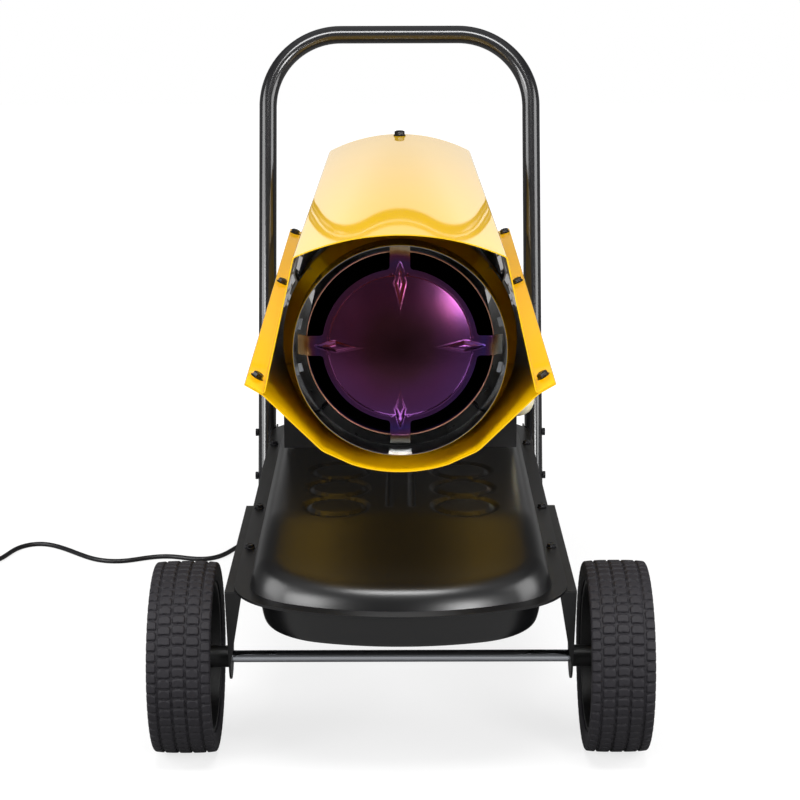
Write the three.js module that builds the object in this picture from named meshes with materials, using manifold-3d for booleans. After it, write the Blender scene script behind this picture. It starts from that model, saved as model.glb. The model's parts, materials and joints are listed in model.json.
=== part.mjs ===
// A wheeled direct-fired forced air heater: a pressed steel tank on two wheels and a bent tube
// handle, with a burner, a fan and an air pump inside a two-part sheet housing.
// Millimetres, +Z up. The outlet faces -Y. The object is drawn with the wheel axle at y = 0 and
// moved at the end, so that the origin is the middle of its footprint, on the floor.
import * as THREE from "three";
import { mergeVertices } from "three/addons/utils/BufferGeometryUtils.js";
import Module from "manifold-3d";

const wasm = await Module();
wasm.setup();

// ---------------------------------------------------------------- driving dimensions
const GAP = 0.3; // clearance between pieces that touch

// wheels and axle
const WHEEL_R = 127;
const TYRE_W = 82;
const TYRE_BORE_R = 101;
const TREAD_DEPTH = 3.5;
const TREAD_GROOVE_X = 26;
const TREAD_EDGE_R = 124.5; // radius at the shoulder of the tread
const WHEEL_X = 284.5; // middle plane of a wheel
const WHEEL_SEGMENTS = 24;
const RIM_WALL = 5;
const RIM_WEB = 5;
const RIM_RIBS = 8;
const RIM_RIB_T = 3.4;
const RIM_RIB_H = 22;
const HUB_R = 14.5;
const HUB_END_X = 306; // outer end of the hub boss
const AXLE_R = 8;
const AXLE_END_X = 316;
const CAP_R = 13;
const CAP_END_X = 322;

// tank: two pressed halves with a flat seam flange
const TANK_HALF_W = 216;
const TANK_FRONT_Y = -180;
const TANK_REAR_Y = 850;
const TANK_NOSE_R = 350;
const TANK_FRONT_CORNER_R = 110;
const TANK_REAR_CORNER_R = 90;
const TANK_SEAM_Z = 242;
const TANK_SHEET = 1.5;
const TANK_TOP_Z = 300;
const TANK_NOSE_TOP_Z = 273; // height of the shoulder at the front
const TANK_RAMP_FROM_Y = -150;
const TANK_RAMP_LENGTH = 250;
const TANK_FLANGE_W = 20;
const TANK_BOTTOM_Z = 196;
const TANK_LOWER_SIDE = 33; // the lower half is pressed narrower than the flange
const TANK_LOWER_FRONT = 12;
const TANK_LOWER_REAR = 30;
const DIMPLE_R = 46;
const DIMPLE_INNER_R = 36;
const DIMPLE_DEPTH = 0.9;
const DIMPLE_X = 88;
const DIMPLE_FIRST_Y = 121;
const DIMPLE_PITCH = 92;
const DIMPLE_ROWS = 3;
const GROOVE_X = 16;
const GROOVE_W = 6;
const GROOVE_LENGTH = 200;

// brackets under the tank
const BRACKET_SHEET = 2.5;
const BRACKET_X = 227.2; // outer face of the wheel brackets
const BRACKET_STRIP_IN_X = 184;
const BRACKET_FRONT_Y = -70;
const BRACKET_STRIP_REAR_Y = 331;
const BRACKET_PLATE_REAR_Y = 54;
const BRACKET_LUG_R = 30;
const BRACKET_FOLD_W = 21;

// handle: one bent tube, leaning back
const TUBE_R = 15;
const HANDLE_X = 226; // middle of each leg
const HANDLE_TOP_Y = 1023;
const HANDLE_TOP_Z = 884.5;
const HANDLE_LEAN = 0.3153; // millimetres back for each millimetre up
const HANDLE_BEND_R = 125;
const TUBE_SIDES = 12;
const FOOT_R = 20;
const FOOT_H = 34;
const FOOT_FLOOR = 8; // rubber under the end of the tube
const HANDLE_BRACKET_FRONT_Y = 672;
const HANDLE_BRACKET_REAR_Y = 846;
const HANDLE_BRACKET_LOW_Z = 140;
const BOLT_UPPER_Z = 230;
const BOLT_LOWER_Z = 160;
const BOLT_R = 4;
const BOLT_HEAD_R = 6.5;
const BOLT_HEAD_H = 4.5;

// housing: upper and lower shell, drawn by the section at each end
const SHELL_SHEET = 1.5;
const SHELL_TOP_FRONT_Y = -216;
const SHELL_BOTTOM_FRONT_Y = -147;
const SHELL_REAR_Y = 900;
const SECTION_FRONT = {
  tip: [187, 539.4], // outer edge of the seam flange
  fold: [165.4, 526], // where the side wall meets the flange
  corner: [126, 698.5],
  top: 726.5,
  hip: [96, 448.4], // lower end of the lower shell's slanted side
  keel: [59.6, 430.4],
  bottom: 420.3,
};
const SECTION_REAR = {
  tip: [186, 566],
  fold: [166.8, 560],
  corner: [118, 698],
  top: 726.5,
  hip: [98, 452],
  keel: [60, 432],
  bottom: 422,
};
const SHELL_ARC_STEPS = 10;
const SHELL_STATIONS = 5; // steps along the shells, which taper and twist a little

// hot section, on the axis of the housing
const AXIS_Z = 572;
const ROUND_SEGMENTS = 28;
const FLAT = Math.cos(Math.PI / ROUND_SEGMENTS); // a facet's distance from the axis at radius 1
const CONE_RIM_R = 131; // of the straight collar that the air leaves by
const CONE_R = 146;
const CONE_RIM_Y = SHELL_BOTTOM_FRONT_Y;
const CONE_COLLAR_REAR_Y = -97;
const CONE_SHOULDER_Y = -77;
const CONE_REAR_Y = -20;
const CONE_SHEET = 1.5;
const CONE_BRACKET_SHEET = 2;
const SHIELD_FRONT_Y = -60;
const SHIELD_REAR_Y = 452;
const CHAMBER_R = 117;
const CHAMBER_SHEET = 1.5;
const CHAMBER_FRONT_Y = -100;
const CHAMBER_REAR_Y = 470;
const CHAMBER_FIN_T = 2.5;
const CHAMBER_FIN_L = 24;
const CHAMBER_FIN_FRONT_Y = -30;
const CHAMBER_FIN_REAR_Y = 400;
const DEFLECTOR_R = 96;
const DEFLECTOR_Y = -111;
const DEFLECTOR_DOME = 13;
const DEFLECTOR_SHEET = 1.6;
const DEFLECTOR_ARM_W = 25;
const DEFLECTOR_FOLD_R = 113; // where an arm folds back towards the collar
const DEFLECTOR_RIB_H = 6;

// burner
const BURNER_R = 60; // bore of the chamber's rear plate
const BURNER_DEPTH = 34;
const BURNER_SHEET = 2;
const SWIRL_SLOTS = 4;
const NOZZLE_R = 7;
const NOZZLE_L = 22;
const ADAPTER_R = 11.7;
const ELECTRODE_R = 3.2;
const ELECTRODE_L = 60;
const ELECTRODE_X = 24;
const PHOTOCELL_R = 6;
const PHOTOCELL_L = 40;
const PHOTOCELL_Z = 30; // above the axis

// fan, motor and air pump
const SHAFT_R = 5;
const SHAFT_FRONT_Y = 548;
const SHAFT_REAR_Y = 812;
const FAN_R = 122;
const FAN_HUB_R = 26;
const FAN_Y = 556;
const FAN_HUB_L = 44;
const FAN_BLADES = 5;
const FAN_BLADE_T = 2.2;
const MOTOR_R = 60;
const MOTOR_Y = 640;
const MOTOR_L = 140;
const MOTOR_BAND_W = 26;
const MOTOR_FOOT_HALF_W = 40;
const PUMP_R = 42;
const PUMP_L = 34;
const PUMP_BORE_R = 30;
const PUMP_COVER_L = 16;
const GAUGE_R = 16;
const GAUGE_L = 22;
const AIR_LINE_R = 4;
const AIR_LINE_X = 136;

// rear guard
const GUARD_R = 138;
const GUARD_RINGS = 5;
const GUARD_WIRE = 3.4;
const GUARD_SEGMENTS = 16;
const GUARD_SPOKES = 4;
const GUARD_Y = SHELL_REAR_Y - 6;

// pedestals between tank and housing
const PEDESTAL_X = 176;
const PEDESTAL_SHEET = 2;
const PEDESTAL_FRONT_Y = 438;
const PEDESTAL_REAR_Y = 640;
const PEDESTAL_RETURN = 34;
const PEDESTAL_FOOT = 20;
const PEDESTAL_HEIGHT_Z = 470;
const PEDESTAL_CLEAR = 0.7; // between a pedestal's saddle and the lower shell

// control box and what is on it
const BOX_X = [-176, -44];
const BOX_Y = [664, 800];
const BOX_TOP_Z = 414;
const BOX_EDGE = 5;
const KNOB_R = 15;
const KNOB_L = 15;
const KNOB_Y = 700;
const KNOB_Z = 372;
const SWITCH_Y = 752;
const SWITCH_Z = 376;
const SWITCH_SIZE = [20, 26]; // along y and z
const RESET_R = 6;
const RESET_Y = 752;
const RESET_Z = 336;
const RESET_STROKE = 2;
const GLAND_X = -120;
const GLAND_Z = 330;

// fuel fittings on the tank
const FUEL_CAP_X = 136;
const FUEL_CAP_Y = 560;
const FUEL_CAP_R = 27;
const FUEL_CAP_H = 24;
const FUEL_NECK_R = 20;
const FUEL_NECK_H = 16;
const FUEL_GAUGE_Y = 490;
const FUEL_GAUGE_R = 17;
const FUEL_GAUGE_H = 14;
const FILTER_X = 181;
const FILTER_Y = 507;
const FILTER_Z = 333; // lowest point of the bowl
const FILTER_R = 26;
const FILTER_BOWL_H = 60;
const FILTER_HEAD_R = 20;
const FILTER_HEAD_H = 22;
const SUCTION_X = 142; // where the suction line enters the tank
const SUCTION_Y = 602;
const FUEL_LINE_R = 4;
const DRAIN_R = 9;
const DRAIN_Y = 730;

// mains lead
const LEAD_R = 4;
const COIL_R = 49.5; // middle of the coil's outermost turn
const COIL_TURNS = 3.5;
const COIL_PITCH = 8.7; // from turn to turn, and from layer to layer
const COIL_Z = 5.3; // middle of the lower layer, over the tie
const COIL_AT = [-768, 752];
const TIE_W = 9;
const TIE_T = 0.8;
const PLUG_HALF = [17, 13.6]; // half width and half height
const PLUG_L = 42;
const PLUG_RELIEF_L = 26;
const PIN_R = 2.4;
const PIN_L = 19;
const PIN_X = 9.5;

// ---------------------------------------------------------------- colours and finishes
const finish = (color, roughness, metalness) =>
  new THREE.MeshStandardMaterial({ color, roughness, metalness });
const YELLOW = finish(0xf2b705, 0.35, 0.1);
const BLACK_SATIN = finish(0x141416, 0.5, 0.2);
const BLACK_GLOSS = finish(0x101012, 0.2, 0.3);
const RUBBER = finish(0x3b3a3c, 0.85, 0);
const PLASTIC = finish(0x1b1b1d, 0.55, 0);
const BRIGHT = finish(0xb9bdc2, 0.25, 0.9);
const GALVANISED = finish(0xa6a8aa, 0.4, 0.8);
const TINTED = finish(0x6a4560, 0.3, 0.8);
const BRASS = finish(0xb08d45, 0.35, 0.9);
const CERAMIC = finish(0xe9e4da, 0.5, 0);
const CAST = finish(0x8d9092, 0.5, 0.7);
const SWITCH_RED = finish(0xb3201c, 0.35, 0);
const CREAM = finish(0xe9e3cf, 0.35, 0);

// ---------------------------------------------------------------- mesh and boolean helpers
const V2 = (x, y) => new THREE.Vector2(x, y);
const V3 = (x, y, z) => new THREE.Vector3(x, y, z);

// Merges a geometry's vertices, drops collapsed triangles and turns it right side out.
function clean(geometry) {
  const bare = new THREE.BufferGeometry();
  bare.setAttribute("position", geometry.getAttribute("position"));
  if (geometry.index) bare.setIndex(geometry.index);
  const merged = mergeVertices(bare, 1e-4);
  const position = merged.getAttribute("position");
  const kept = [];
  let volume = 0;
  const [a, b, c] = [V3(), V3(), V3()];
  for (let i = 0; i < merged.index.count; i += 3) {
    const [p, q, r] = [0, 1, 2].map((k) => merged.index.getX(i + k));
    if (p === q || q === r || r === p) continue;
    kept.push([p, q, r]);
    a.fromBufferAttribute(position, p);
    b.fromBufferAttribute(position, q);
    c.fromBufferAttribute(position, r);
    volume += a.dot(b.cross(c));
  }
  merged.setIndex(kept.flatMap((t) => (volume < 0 ? [t[0], t[2], t[1]] : t)));
  return merged;
}

function solid(geometry) {
  const g = clean(geometry);
  return new wasm.Manifold(
    new wasm.Mesh({
      numProp: 3,
      vertProperties: new Float32Array(g.getAttribute("position").array),
      triVerts: new Uint32Array(g.index.array),
    }),
  );
}

function geometryOf(manifold) {
  const mesh = manifold.getMesh();
  return new THREE.BufferGeometry()
    .setAttribute("position", new THREE.BufferAttribute(mesh.vertProperties, 3))
    .setIndex(new THREE.BufferAttribute(mesh.triVerts, 1));
}

const join = (...geometries) =>
  geometryOf(geometries.map(solid).reduce((sum, next) => sum.add(next)));
const cut = (geometry, ...tools) =>
  geometryOf(tools.map(solid).reduce((rest, tool) => rest.subtract(tool), solid(geometry)));

const part = new THREE.Group();
function add(name, geometry, material) {
  const g = clean(geometry).toNonIndexed();
  g.computeVertexNormals();
  const mesh = new THREE.Mesh(g, material);
  mesh.name = name;
  part.add(mesh);
}

// ---------------------------------------------------------------- shape helpers
// Points of an arc in a plane, both ends included.
function arcPoints(cx, cy, r, from, to, steps) {
  return Array.from({ length: steps + 1 }, (_, i) => {
    const a = from + ((to - from) * i) / steps;
    return V2(cx + r * Math.cos(a), cy + r * Math.sin(a));
  });
}

// A polyline moved to its left by d, with mitred corners.
function offsetLine(points, d) {
  return points.map((p, i) => {
    const before = points[Math.max(i - 1, 0)];
    const after = points[Math.min(i + 1, points.length - 1)];
    const u = i > 0 ? p.clone().sub(before).normalize() : after.clone().sub(p).normalize();
    const v = i < points.length - 1 ? after.clone().sub(p).normalize() : u;
    const n = V2(-(u.y + v.y), u.x + v.x).normalize();
    const scale = d / Math.max(n.dot(V2(-u.y, u.x)), 0.3);
    return p.clone().addScaledVector(n, scale);
  });
}

// The closed outline of a sheet of thickness t along a polyline, t to its left.
const sheetOutline = (points, t) => [...points, ...offsetLine(points, t).reverse()];

// Triangles between rings of equal length, with the two end rings closed by the given faces.
function loft(rings, faces) {
  const n = rings[0].length;
  const vertices = rings.flat();
  const index = [];
  for (let k = 0; k + 1 < rings.length; k++)
    for (let i = 0; i < n; i++) {
      const [a, b] = [k * n + i, k * n + ((i + 1) % n)];
      index.push(a, b, a + n, b, b + n, a + n);
    }
  const last = (rings.length - 1) * n;
  for (const [p, q, r] of faces) index.push(r, q, p, last + p, last + q, last + r);
  return new THREE.BufferGeometry().setFromPoints(vertices).setIndex(index);
}

const flatFaces = (outline) =>
  THREE.ShapeUtils.triangulateShape(outline, []).map((f) =>
    THREE.ShapeUtils.isClockWise(outline) ? [f[0], f[2], f[1]] : f,
  );

const EXTRUDE = (depth) => ({ depth, bevelEnabled: false, curveSegments: 8 });
const shapeOf = (item) => (item instanceof THREE.Shape ? item : new THREE.Shape(item));

// Plates extruded square to an axis: outlines are given in the plane's own two axes.
const plateZ = (outline, z0, z1) =>
  new THREE.ExtrudeGeometry(shapeOf(outline), EXTRUDE(z1 - z0)).translate(0, 0, z0);
const plateX = (outline, x0, x1) =>
  new THREE.ExtrudeGeometry(shapeOf(outline), EXTRUDE(x1 - x0))
    .applyMatrix4(new THREE.Matrix4().makeBasis(V3(0, 1, 0), V3(0, 0, 1), V3(1, 0, 0)))
    .translate(x0, 0, 0);
const plateY = (outline, y0, y1) =>
  new THREE.ExtrudeGeometry(shapeOf(outline), EXTRUDE(y1 - y0))
    .applyMatrix4(new THREE.Matrix4().makeBasis(V3(1, 0, 0), V3(0, 0, 1), V3(0, -1, 0)))
    .translate(0, y1, 0);

const box = (x0, x1, y0, y1, z0, z1) =>
  new THREE.BoxGeometry(x1 - x0, y1 - y0, z1 - z0).translate(
    (x0 + x1) / 2,
    (y0 + y1) / 2,
    (z0 + z1) / 2,
  );

// A profile of [radius, place along the axis] turned round an axis.
const lathe = (profile, segments = ROUND_SEGMENTS) =>
  new THREE.LatheGeometry(
    profile.map(([r, a]) => V2(r, a)),
    segments,
  );
const turnedY = (profile, x = 0, z = AXIS_Z, segments) =>
  lathe(profile, segments).translate(x, 0, z);
const turnedX = (profile, y, z, segments) =>
  lathe(profile, segments).rotateZ(-Math.PI / 2).translate(0, y, z);
const turnedZ = (profile, x, y, segments) =>
  lathe(profile, segments).rotateX(Math.PI / 2).translate(x, y, 0);
const ring = (outer, inner, a0, a1) => [
  [outer, a0],
  [outer, a1],
  [inner, a1],
  [inner, a0],
  [outer, a0],
];
const disc = (r, a0, a1) => [
  [0, a0],
  [r, a0],
  [r, a1],
  [0, a1],
];

// A curve through given points, sampled at those points, for tubes with chosen steps.
class Route extends THREE.Curve {
  constructor(points) {
    super();
    this.points = points;
  }
  getPoint(t) {
    const at = THREE.MathUtils.clamp(t, 0, 1) * (this.points.length - 1);
    const i = Math.min(Math.floor(at), this.points.length - 2);
    return this.points[i].clone().lerp(this.points[i + 1], at - i);
  }
  getPointAt(u) {
    return this.getPoint(u);
  }
  getTangentAt(u) {
    const step = 0.5 / (this.points.length - 1);
    return this.getPoint(u + step).sub(this.getPoint(u - step)).normalize();
  }
}

function tube(points, r, sides) {
  const circle = new THREE.Shape(
    Array.from({ length: sides }, (_, i) => {
      const a = (2 * Math.PI * (i + 0.5)) / sides;
      return V2(r * Math.cos(a), r * Math.sin(a));
    }),
  );
  return new THREE.ExtrudeGeometry(circle, {
    steps: points.length - 1,
    bevelEnabled: false,
    extrudePath: new Route(points),
  });
}

// Points spaced evenly on a smooth curve through chosen points.
const smooth = (points, steps) =>
  new THREE.CatmullRomCurve3(points, false, "centripetal").getSpacedPoints(steps);

const SIDES = [
  ["left", -1],
  ["right", 1],
];
const mirrorIf = (geometry, side) => (side < 0 ? geometry.scale(-1, 1, 1) : geometry);

// ---------------------------------------------------------------- wheels and axle
const AXLE_Z = WHEEL_R;

// The tread is turned in flat facets that touch the wheel's true radius, one of them on the floor.
function tyreProfile() {
  const facet = 1 / Math.cos(Math.PI / WHEEL_SEGMENTS);
  const half = TYRE_W / 2;
  const grooves = [TREAD_GROOVE_X]; // middle of each groove, from the centre of the tread
  const grooveHalf = 1.6;
  const crown = (a) => facet * (WHEEL_R - (WHEEL_R - TREAD_EDGE_R) * (a / half) ** 2);
  const side = [[crown(0), 0]];
  for (const g of grooves)
    side.push(
      [crown(g - grooveHalf), g - grooveHalf],
      [crown(g) - TREAD_DEPTH, g - grooveHalf],
      [crown(g) - TREAD_DEPTH, g + grooveHalf],
      [crown(g + grooveHalf), g + grooveHalf],
    );
  side.push([crown(half - 3), half - 3.5], [TREAD_EDGE_R - 8, half], [TYRE_BORE_R + 4, half]);
  side.push([TYRE_BORE_R, half - 4]);
  const other = side.slice(1).map(([r, a]) => [r, -a]);
  return [...side, ...other.reverse(), side[0]];
}

const wheelTurned = (profile) =>
  lathe(profile, WHEEL_SEGMENTS)
    .rotateZ(-Math.PI / 2)
    .rotateX(Math.PI / WHEEL_SEGMENTS)
    .translate(WHEEL_X, 0, AXLE_Z);

function addWheel(name, side) {
  const tyre = wheelTurned(tyreProfile());
  add("tyre_" + name, mirrorIf(tyre, side), RUBBER);

  const rimR = TYRE_BORE_R - GAP;
  const half = TYRE_W / 2 - 5;
  const web = RIM_WEB / 2;
  const hubIn = BRACKET_X + GAP - WHEEL_X;
  const hubOut = HUB_END_X - WHEEL_X;
  const profile = [
    [AXLE_R + GAP, hubIn],
    [HUB_R, hubIn],
    [HUB_R, -web],
    [rimR - RIM_WALL - 4, -web],
    [rimR - RIM_WALL, -half],
    [rimR, -half],
    [rimR, half],
    [rimR - RIM_WALL, half],
    [rimR - RIM_WALL - 4, web],
    [HUB_R, web],
    [HUB_R, hubOut],
    [AXLE_R + GAP, hubOut],
    [AXLE_R + GAP, hubIn],
  ];
  const ribs = Array.from({ length: RIM_RIBS }, (_, i) =>
    box(-RIM_RIB_H, RIM_RIB_H - 6, -RIM_RIB_T / 2, RIM_RIB_T / 2, HUB_R - 3, rimR - RIM_WALL + 1)
      .rotateX((2 * Math.PI * i) / RIM_RIBS)
      .translate(WHEEL_X, 0, AXLE_Z),
  );
  const rim = join(wheelTurned(profile), ...ribs);
  add("rim_" + name, mirrorIf(rim, side), PLASTIC);

  const cap = turnedX(
    [
      [AXLE_R + GAP, HUB_END_X + GAP],
      [CAP_R, HUB_END_X + GAP],
      [CAP_R, CAP_END_X - 5],
      [CAP_R - 5, CAP_END_X],
      [0, CAP_END_X],
      [0, AXLE_END_X + GAP],
      [AXLE_R + GAP, AXLE_END_X + GAP],
      [AXLE_R + GAP, HUB_END_X + GAP],
    ],
    0,
    AXLE_Z,
    16,
  );
  add("axle_cap_" + name, mirrorIf(cap, side), BLACK_GLOSS);
}

add("axle", turnedX(disc(AXLE_R, -AXLE_END_X, AXLE_END_X), 0, AXLE_Z, 16), BRIGHT);
for (const [name, side] of SIDES) addWheel(name, side);

// ---------------------------------------------------------------- tank
// Plan of a half of the tank, moved in by inset: nose arc, front corner, side, rear corner, mirrored.
const FLANGE_PLAN = { halfW: TANK_HALF_W, front: TANK_FRONT_Y, rear: TANK_REAR_Y };
const LOWER_PLAN = {
  halfW: TANK_HALF_W - TANK_LOWER_SIDE,
  front: TANK_FRONT_Y + TANK_LOWER_FRONT,
  rear: TANK_REAR_Y - TANK_LOWER_REAR,
};
function tankPlan({ halfW, front, rear }, inset) {
  const noseY = front + TANK_NOSE_R;
  const frontX = halfW - TANK_FRONT_CORNER_R;
  const drop = Math.sqrt((TANK_NOSE_R - TANK_FRONT_CORNER_R) ** 2 - frontX ** 2);
  const split = Math.atan2(frontX, drop) - Math.PI / 2;
  const half = [
    ...arcPoints(0, noseY, TANK_NOSE_R - inset, -Math.PI / 2, split, 3).slice(0, -1),
    ...arcPoints(frontX, noseY - drop, TANK_FRONT_CORNER_R - inset, split, 0, 5),
    V2(halfW - inset, TANK_RAMP_FROM_Y + TANK_RAMP_LENGTH),
    ...arcPoints(halfW - TANK_REAR_CORNER_R, rear - TANK_REAR_CORNER_R,
      TANK_REAR_CORNER_R - inset, 0, Math.PI / 2, 4),
  ];
  const mirrored = half.slice(1).map((p) => V2(-p.x, p.y));
  return [...half, V2(0, rear - inset), ...mirrored.reverse()];
}

// Height of the tank's top along y: it ramps up from the nose.
function tankTop(y) {
  const t = THREE.MathUtils.smoothstep(y, TANK_RAMP_FROM_Y, TANK_RAMP_FROM_Y + TANK_RAMP_LENGTH);
  return TANK_NOSE_TOP_Z + (TANK_TOP_Z - TANK_NOSE_TOP_Z) * t;
}

// Faces across a ring that is mirrored about x = 0 and starts at its front middle.
function crossFaces(n) {
  const faces = [[0, 1, n - 1]];
  for (let i = 1; i < n / 2 - 1; i++)
    faces.push([i, i + 1, n - i - 1], [i, n - i - 1, n - i]);
  faces.push([n / 2 - 1, n / 2, n / 2 + 1]);
  return faces;
}

// A pressed half: walls is a list of [inset, share of the depth], depthAt(y) the pressed depth.
function pressedHalf(plan, walls, flangeZ, flangeT, depthAt, up) {
  const ringAt = (inset, heightAt, outline = plan) =>
    tankPlan(outline, inset).map((p) => V3(p.x, p.y, heightAt(p.y)));
  const t = TANK_SHEET;
  const outer = walls.map(([inset, share]) =>
    ringAt(inset, (y) => flangeZ + up * (flangeT + depthAt(y) * share)),
  );
  const inner = walls.map(([inset, share], i) =>
    ringAt(inset + (i === walls.length - 1 ? 0 : t), (y) =>
      flangeZ + up * (flangeT + depthAt(y) * share - (i === 0 ? flangeT : t)),
    ),
  );
  const edge = [
    ringAt(0, () => flangeZ, FLANGE_PLAN),
    ringAt(0, () => flangeZ + up * flangeT, FLANGE_PLAN),
  ];
  return loft([...inner.reverse(), ...edge, ...outer], crossFaces(inner[0].length));
}

const flangeUp = TANK_SEAM_Z + GAP / 2;
const flangeDown = TANK_SEAM_Z - GAP / 2;
const upperWalls = [
  [TANK_FLANGE_W, 0],
  [TANK_FLANGE_W + 3, 0.3],
  [TANK_FLANGE_W + 9, 0.66],
  [TANK_FLANGE_W + 20, 0.9],
  [TANK_FLANGE_W + 36, 0.99],
  [TANK_FLANGE_W + 52, 1],
];
const lowerWalls = [
  [0, 0],
  [2, 0.55],
  [5, 0.84],
  [11, 0.97],
  [20, 1],
];

function dimpleCutter(x, y) {
  const z = TANK_TOP_Z;
  return turnedZ(
    [
      [DIMPLE_R, z + 1],
      [DIMPLE_R - 2, z - DIMPLE_DEPTH],
      [DIMPLE_INNER_R + 2, z - DIMPLE_DEPTH],
      [DIMPLE_INNER_R, z + 1],
      [DIMPLE_R, z + 1],
    ],
    x,
    y,
    14,
  );
}

function tankUpper() {
  const half = pressedHalf(FLANGE_PLAN, upperWalls, flangeUp, TANK_SHEET, (y) =>
    tankTop(y) - flangeUp - TANK_SHEET, 1);
  const cutters = [];
  for (const [, side] of SIDES) {
    for (let i = 0; i < DIMPLE_ROWS; i++)
      cutters.push(dimpleCutter(side * DIMPLE_X, DIMPLE_FIRST_Y + i * DIMPLE_PITCH));
    const x = side * GROOVE_X;
    const z = TANK_TOP_Z;
    cutters.push(
      box(x - GROOVE_W / 2, x + GROOVE_W / 2, DIMPLE_FIRST_Y, DIMPLE_FIRST_Y + GROOVE_LENGTH,
        z - DIMPLE_DEPTH, z + 1),
    );
  }
  // the filler neck stands on the top
  const neck = turnedZ(
    disc(FUEL_NECK_R, TANK_TOP_Z - TANK_SHEET / 2, TANK_TOP_Z + FUEL_NECK_H), FUEL_CAP_X, FUEL_CAP_Y, 20);
  return join(cut(half, ...cutters), neck);
}

add("tank_upper", tankUpper(), BLACK_SATIN);
const drainHole = turnedZ(
  disc(DRAIN_R + GAP, TANK_BOTTOM_Z - 1, TANK_BOTTOM_Z + TANK_SHEET + 1), 0, DRAIN_Y, 12);
add(
  "tank_lower",
  cut(
    pressedHalf(LOWER_PLAN, lowerWalls, flangeDown, TANK_SHEET, () =>
      flangeDown - TANK_SHEET - TANK_BOTTOM_Z, -1),
    drainHole,
  ),
  BLACK_SATIN,
);
add(
  "drain_plug",
  turnedZ(
    [
      [0, TANK_BOTTOM_Z - 9],
      [DRAIN_R + 4, TANK_BOTTOM_Z - 9],
      [DRAIN_R + 4, TANK_BOTTOM_Z - GAP],
      [DRAIN_R, TANK_BOTTOM_Z - GAP],
      [DRAIN_R, TANK_BOTTOM_Z + 8],
      [0, TANK_BOTTOM_Z + 8],
    ],
    0,
    DRAIN_Y,
    12,
  ),
  BRASS,
);

// ---------------------------------------------------------------- wheel brackets
function wheelBracket() {
  const top = flangeDown - TANK_SHEET - GAP;
  const s = BRACKET_SHEET;
  const strip = box(BRACKET_STRIP_IN_X, BRACKET_X, BRACKET_FRONT_Y, BRACKET_STRIP_REAR_Y, top - s, top);
  const lug = arcPoints(0, AXLE_Z, BRACKET_LUG_R, Math.PI * 1.06, Math.PI * 1.94, 10);
  const plate = plateX(
    [V2(BRACKET_FRONT_Y, top), ...lug, V2(BRACKET_PLATE_REAR_Y, top)],
    BRACKET_X - s,
    BRACKET_X,
  );
  // the front edge of the plate is folded in, widest at the top
  const foot = lug[0];
  const slope = (foot.x - BRACKET_FRONT_Y) / (top - foot.y);
  const backAt = (z) => BRACKET_FRONT_Y + (top - z) * slope;
  const outline = [
    [BRACKET_X, foot.y + 4],
    [BRACKET_X, top],
    [BRACKET_X - BRACKET_FOLD_W, top],
    [BRACKET_X - BRACKET_FOLD_W, top - 10],
    [BRACKET_X - s, foot.y + 4],
  ];
  const face = outline.map(([x, z]) => V3(x, backAt(z), z));
  const back = outline.map(([x, z]) => V3(x, backAt(z) + s, z));
  const fold = loft([face, back], flatFaces(outline.map(([x, z]) => V2(x, z))));
  const bore = turnedX(disc(AXLE_R + GAP, BRACKET_X - 10, BRACKET_X + 10), 0, AXLE_Z, 16);
  return cut(join(strip, plate, fold), bore);
}
for (const [name, side] of SIDES)
  add("wheel_bracket_" + name, mirrorIf(wheelBracket(), side), BLACK_SATIN);

// ---------------------------------------------------------------- handle
const handleY = (z) => HANDLE_TOP_Y - (HANDLE_TOP_Z - z) * HANDLE_LEAN;
const leanLength = Math.hypot(1, HANDLE_LEAN); // tube length for each millimetre of height
const tubeEndZ = FOOT_FLOOR + (TUBE_R * HANDLE_LEAN) / leanLength + GAP;

function handlePoints() {
  const bendX = HANDLE_X - HANDLE_BEND_R;
  const corner = arcPoints(bendX, -HANDLE_BEND_R, HANDLE_BEND_R, 0, Math.PI / 2, 7);
  // (x, distance down the slope) to a point in space
  const place = (x, down) => {
    const z = HANDLE_TOP_Z + down / leanLength;
    return V3(x, handleY(z), z);
  };
  const right = [
    V3(HANDLE_X, handleY(tubeEndZ), tubeEndZ),
    ...corner.map((p) => place(p.x, p.y)),
  ];
  const left = right.map((p) => V3(-p.x, p.y, p.z)).reverse();
  return [...right, ...left];
}

const boltHole = (z, x) =>
  turnedX(disc(BOLT_R + GAP, x - 30, x + 30), handleY(z), z, 10);
function handle() {
  const tools = [];
  for (const [, side] of SIDES)
    for (const z of [BOLT_UPPER_Z, BOLT_LOWER_Z]) tools.push(boltHole(z, side * HANDLE_X));
  return cut(tube(handlePoints(), TUBE_R, TUBE_SIDES), ...tools);
}
add("handle", handle(), BLACK_GLOSS);

// a straight cylinder along the leaning leg
function legCylinder(r, zLow, zHigh) {
  return tube([V3(HANDLE_X, handleY(zLow), zLow), V3(HANDLE_X, handleY(zHigh), zHigh)], r, TUBE_SIDES);
}
function foot() {
  const y = handleY(FOOT_H / 2);
  const pad = turnedZ(
    [
      [0, 0],
      [FOOT_R + 2, 0],
      [FOOT_R + 2, 4],
      [FOOT_R, 8],
      [FOOT_R, FOOT_H],
      [0, FOOT_H],
    ],
    HANDLE_X,
    y,
    16,
  );
  return cut(pad, legCylinder(TUBE_R + GAP, tubeEndZ - GAP, FOOT_H + 30));
}
for (const [name, side] of SIDES) add("foot_" + name, mirrorIf(foot(), side), RUBBER);

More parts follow.
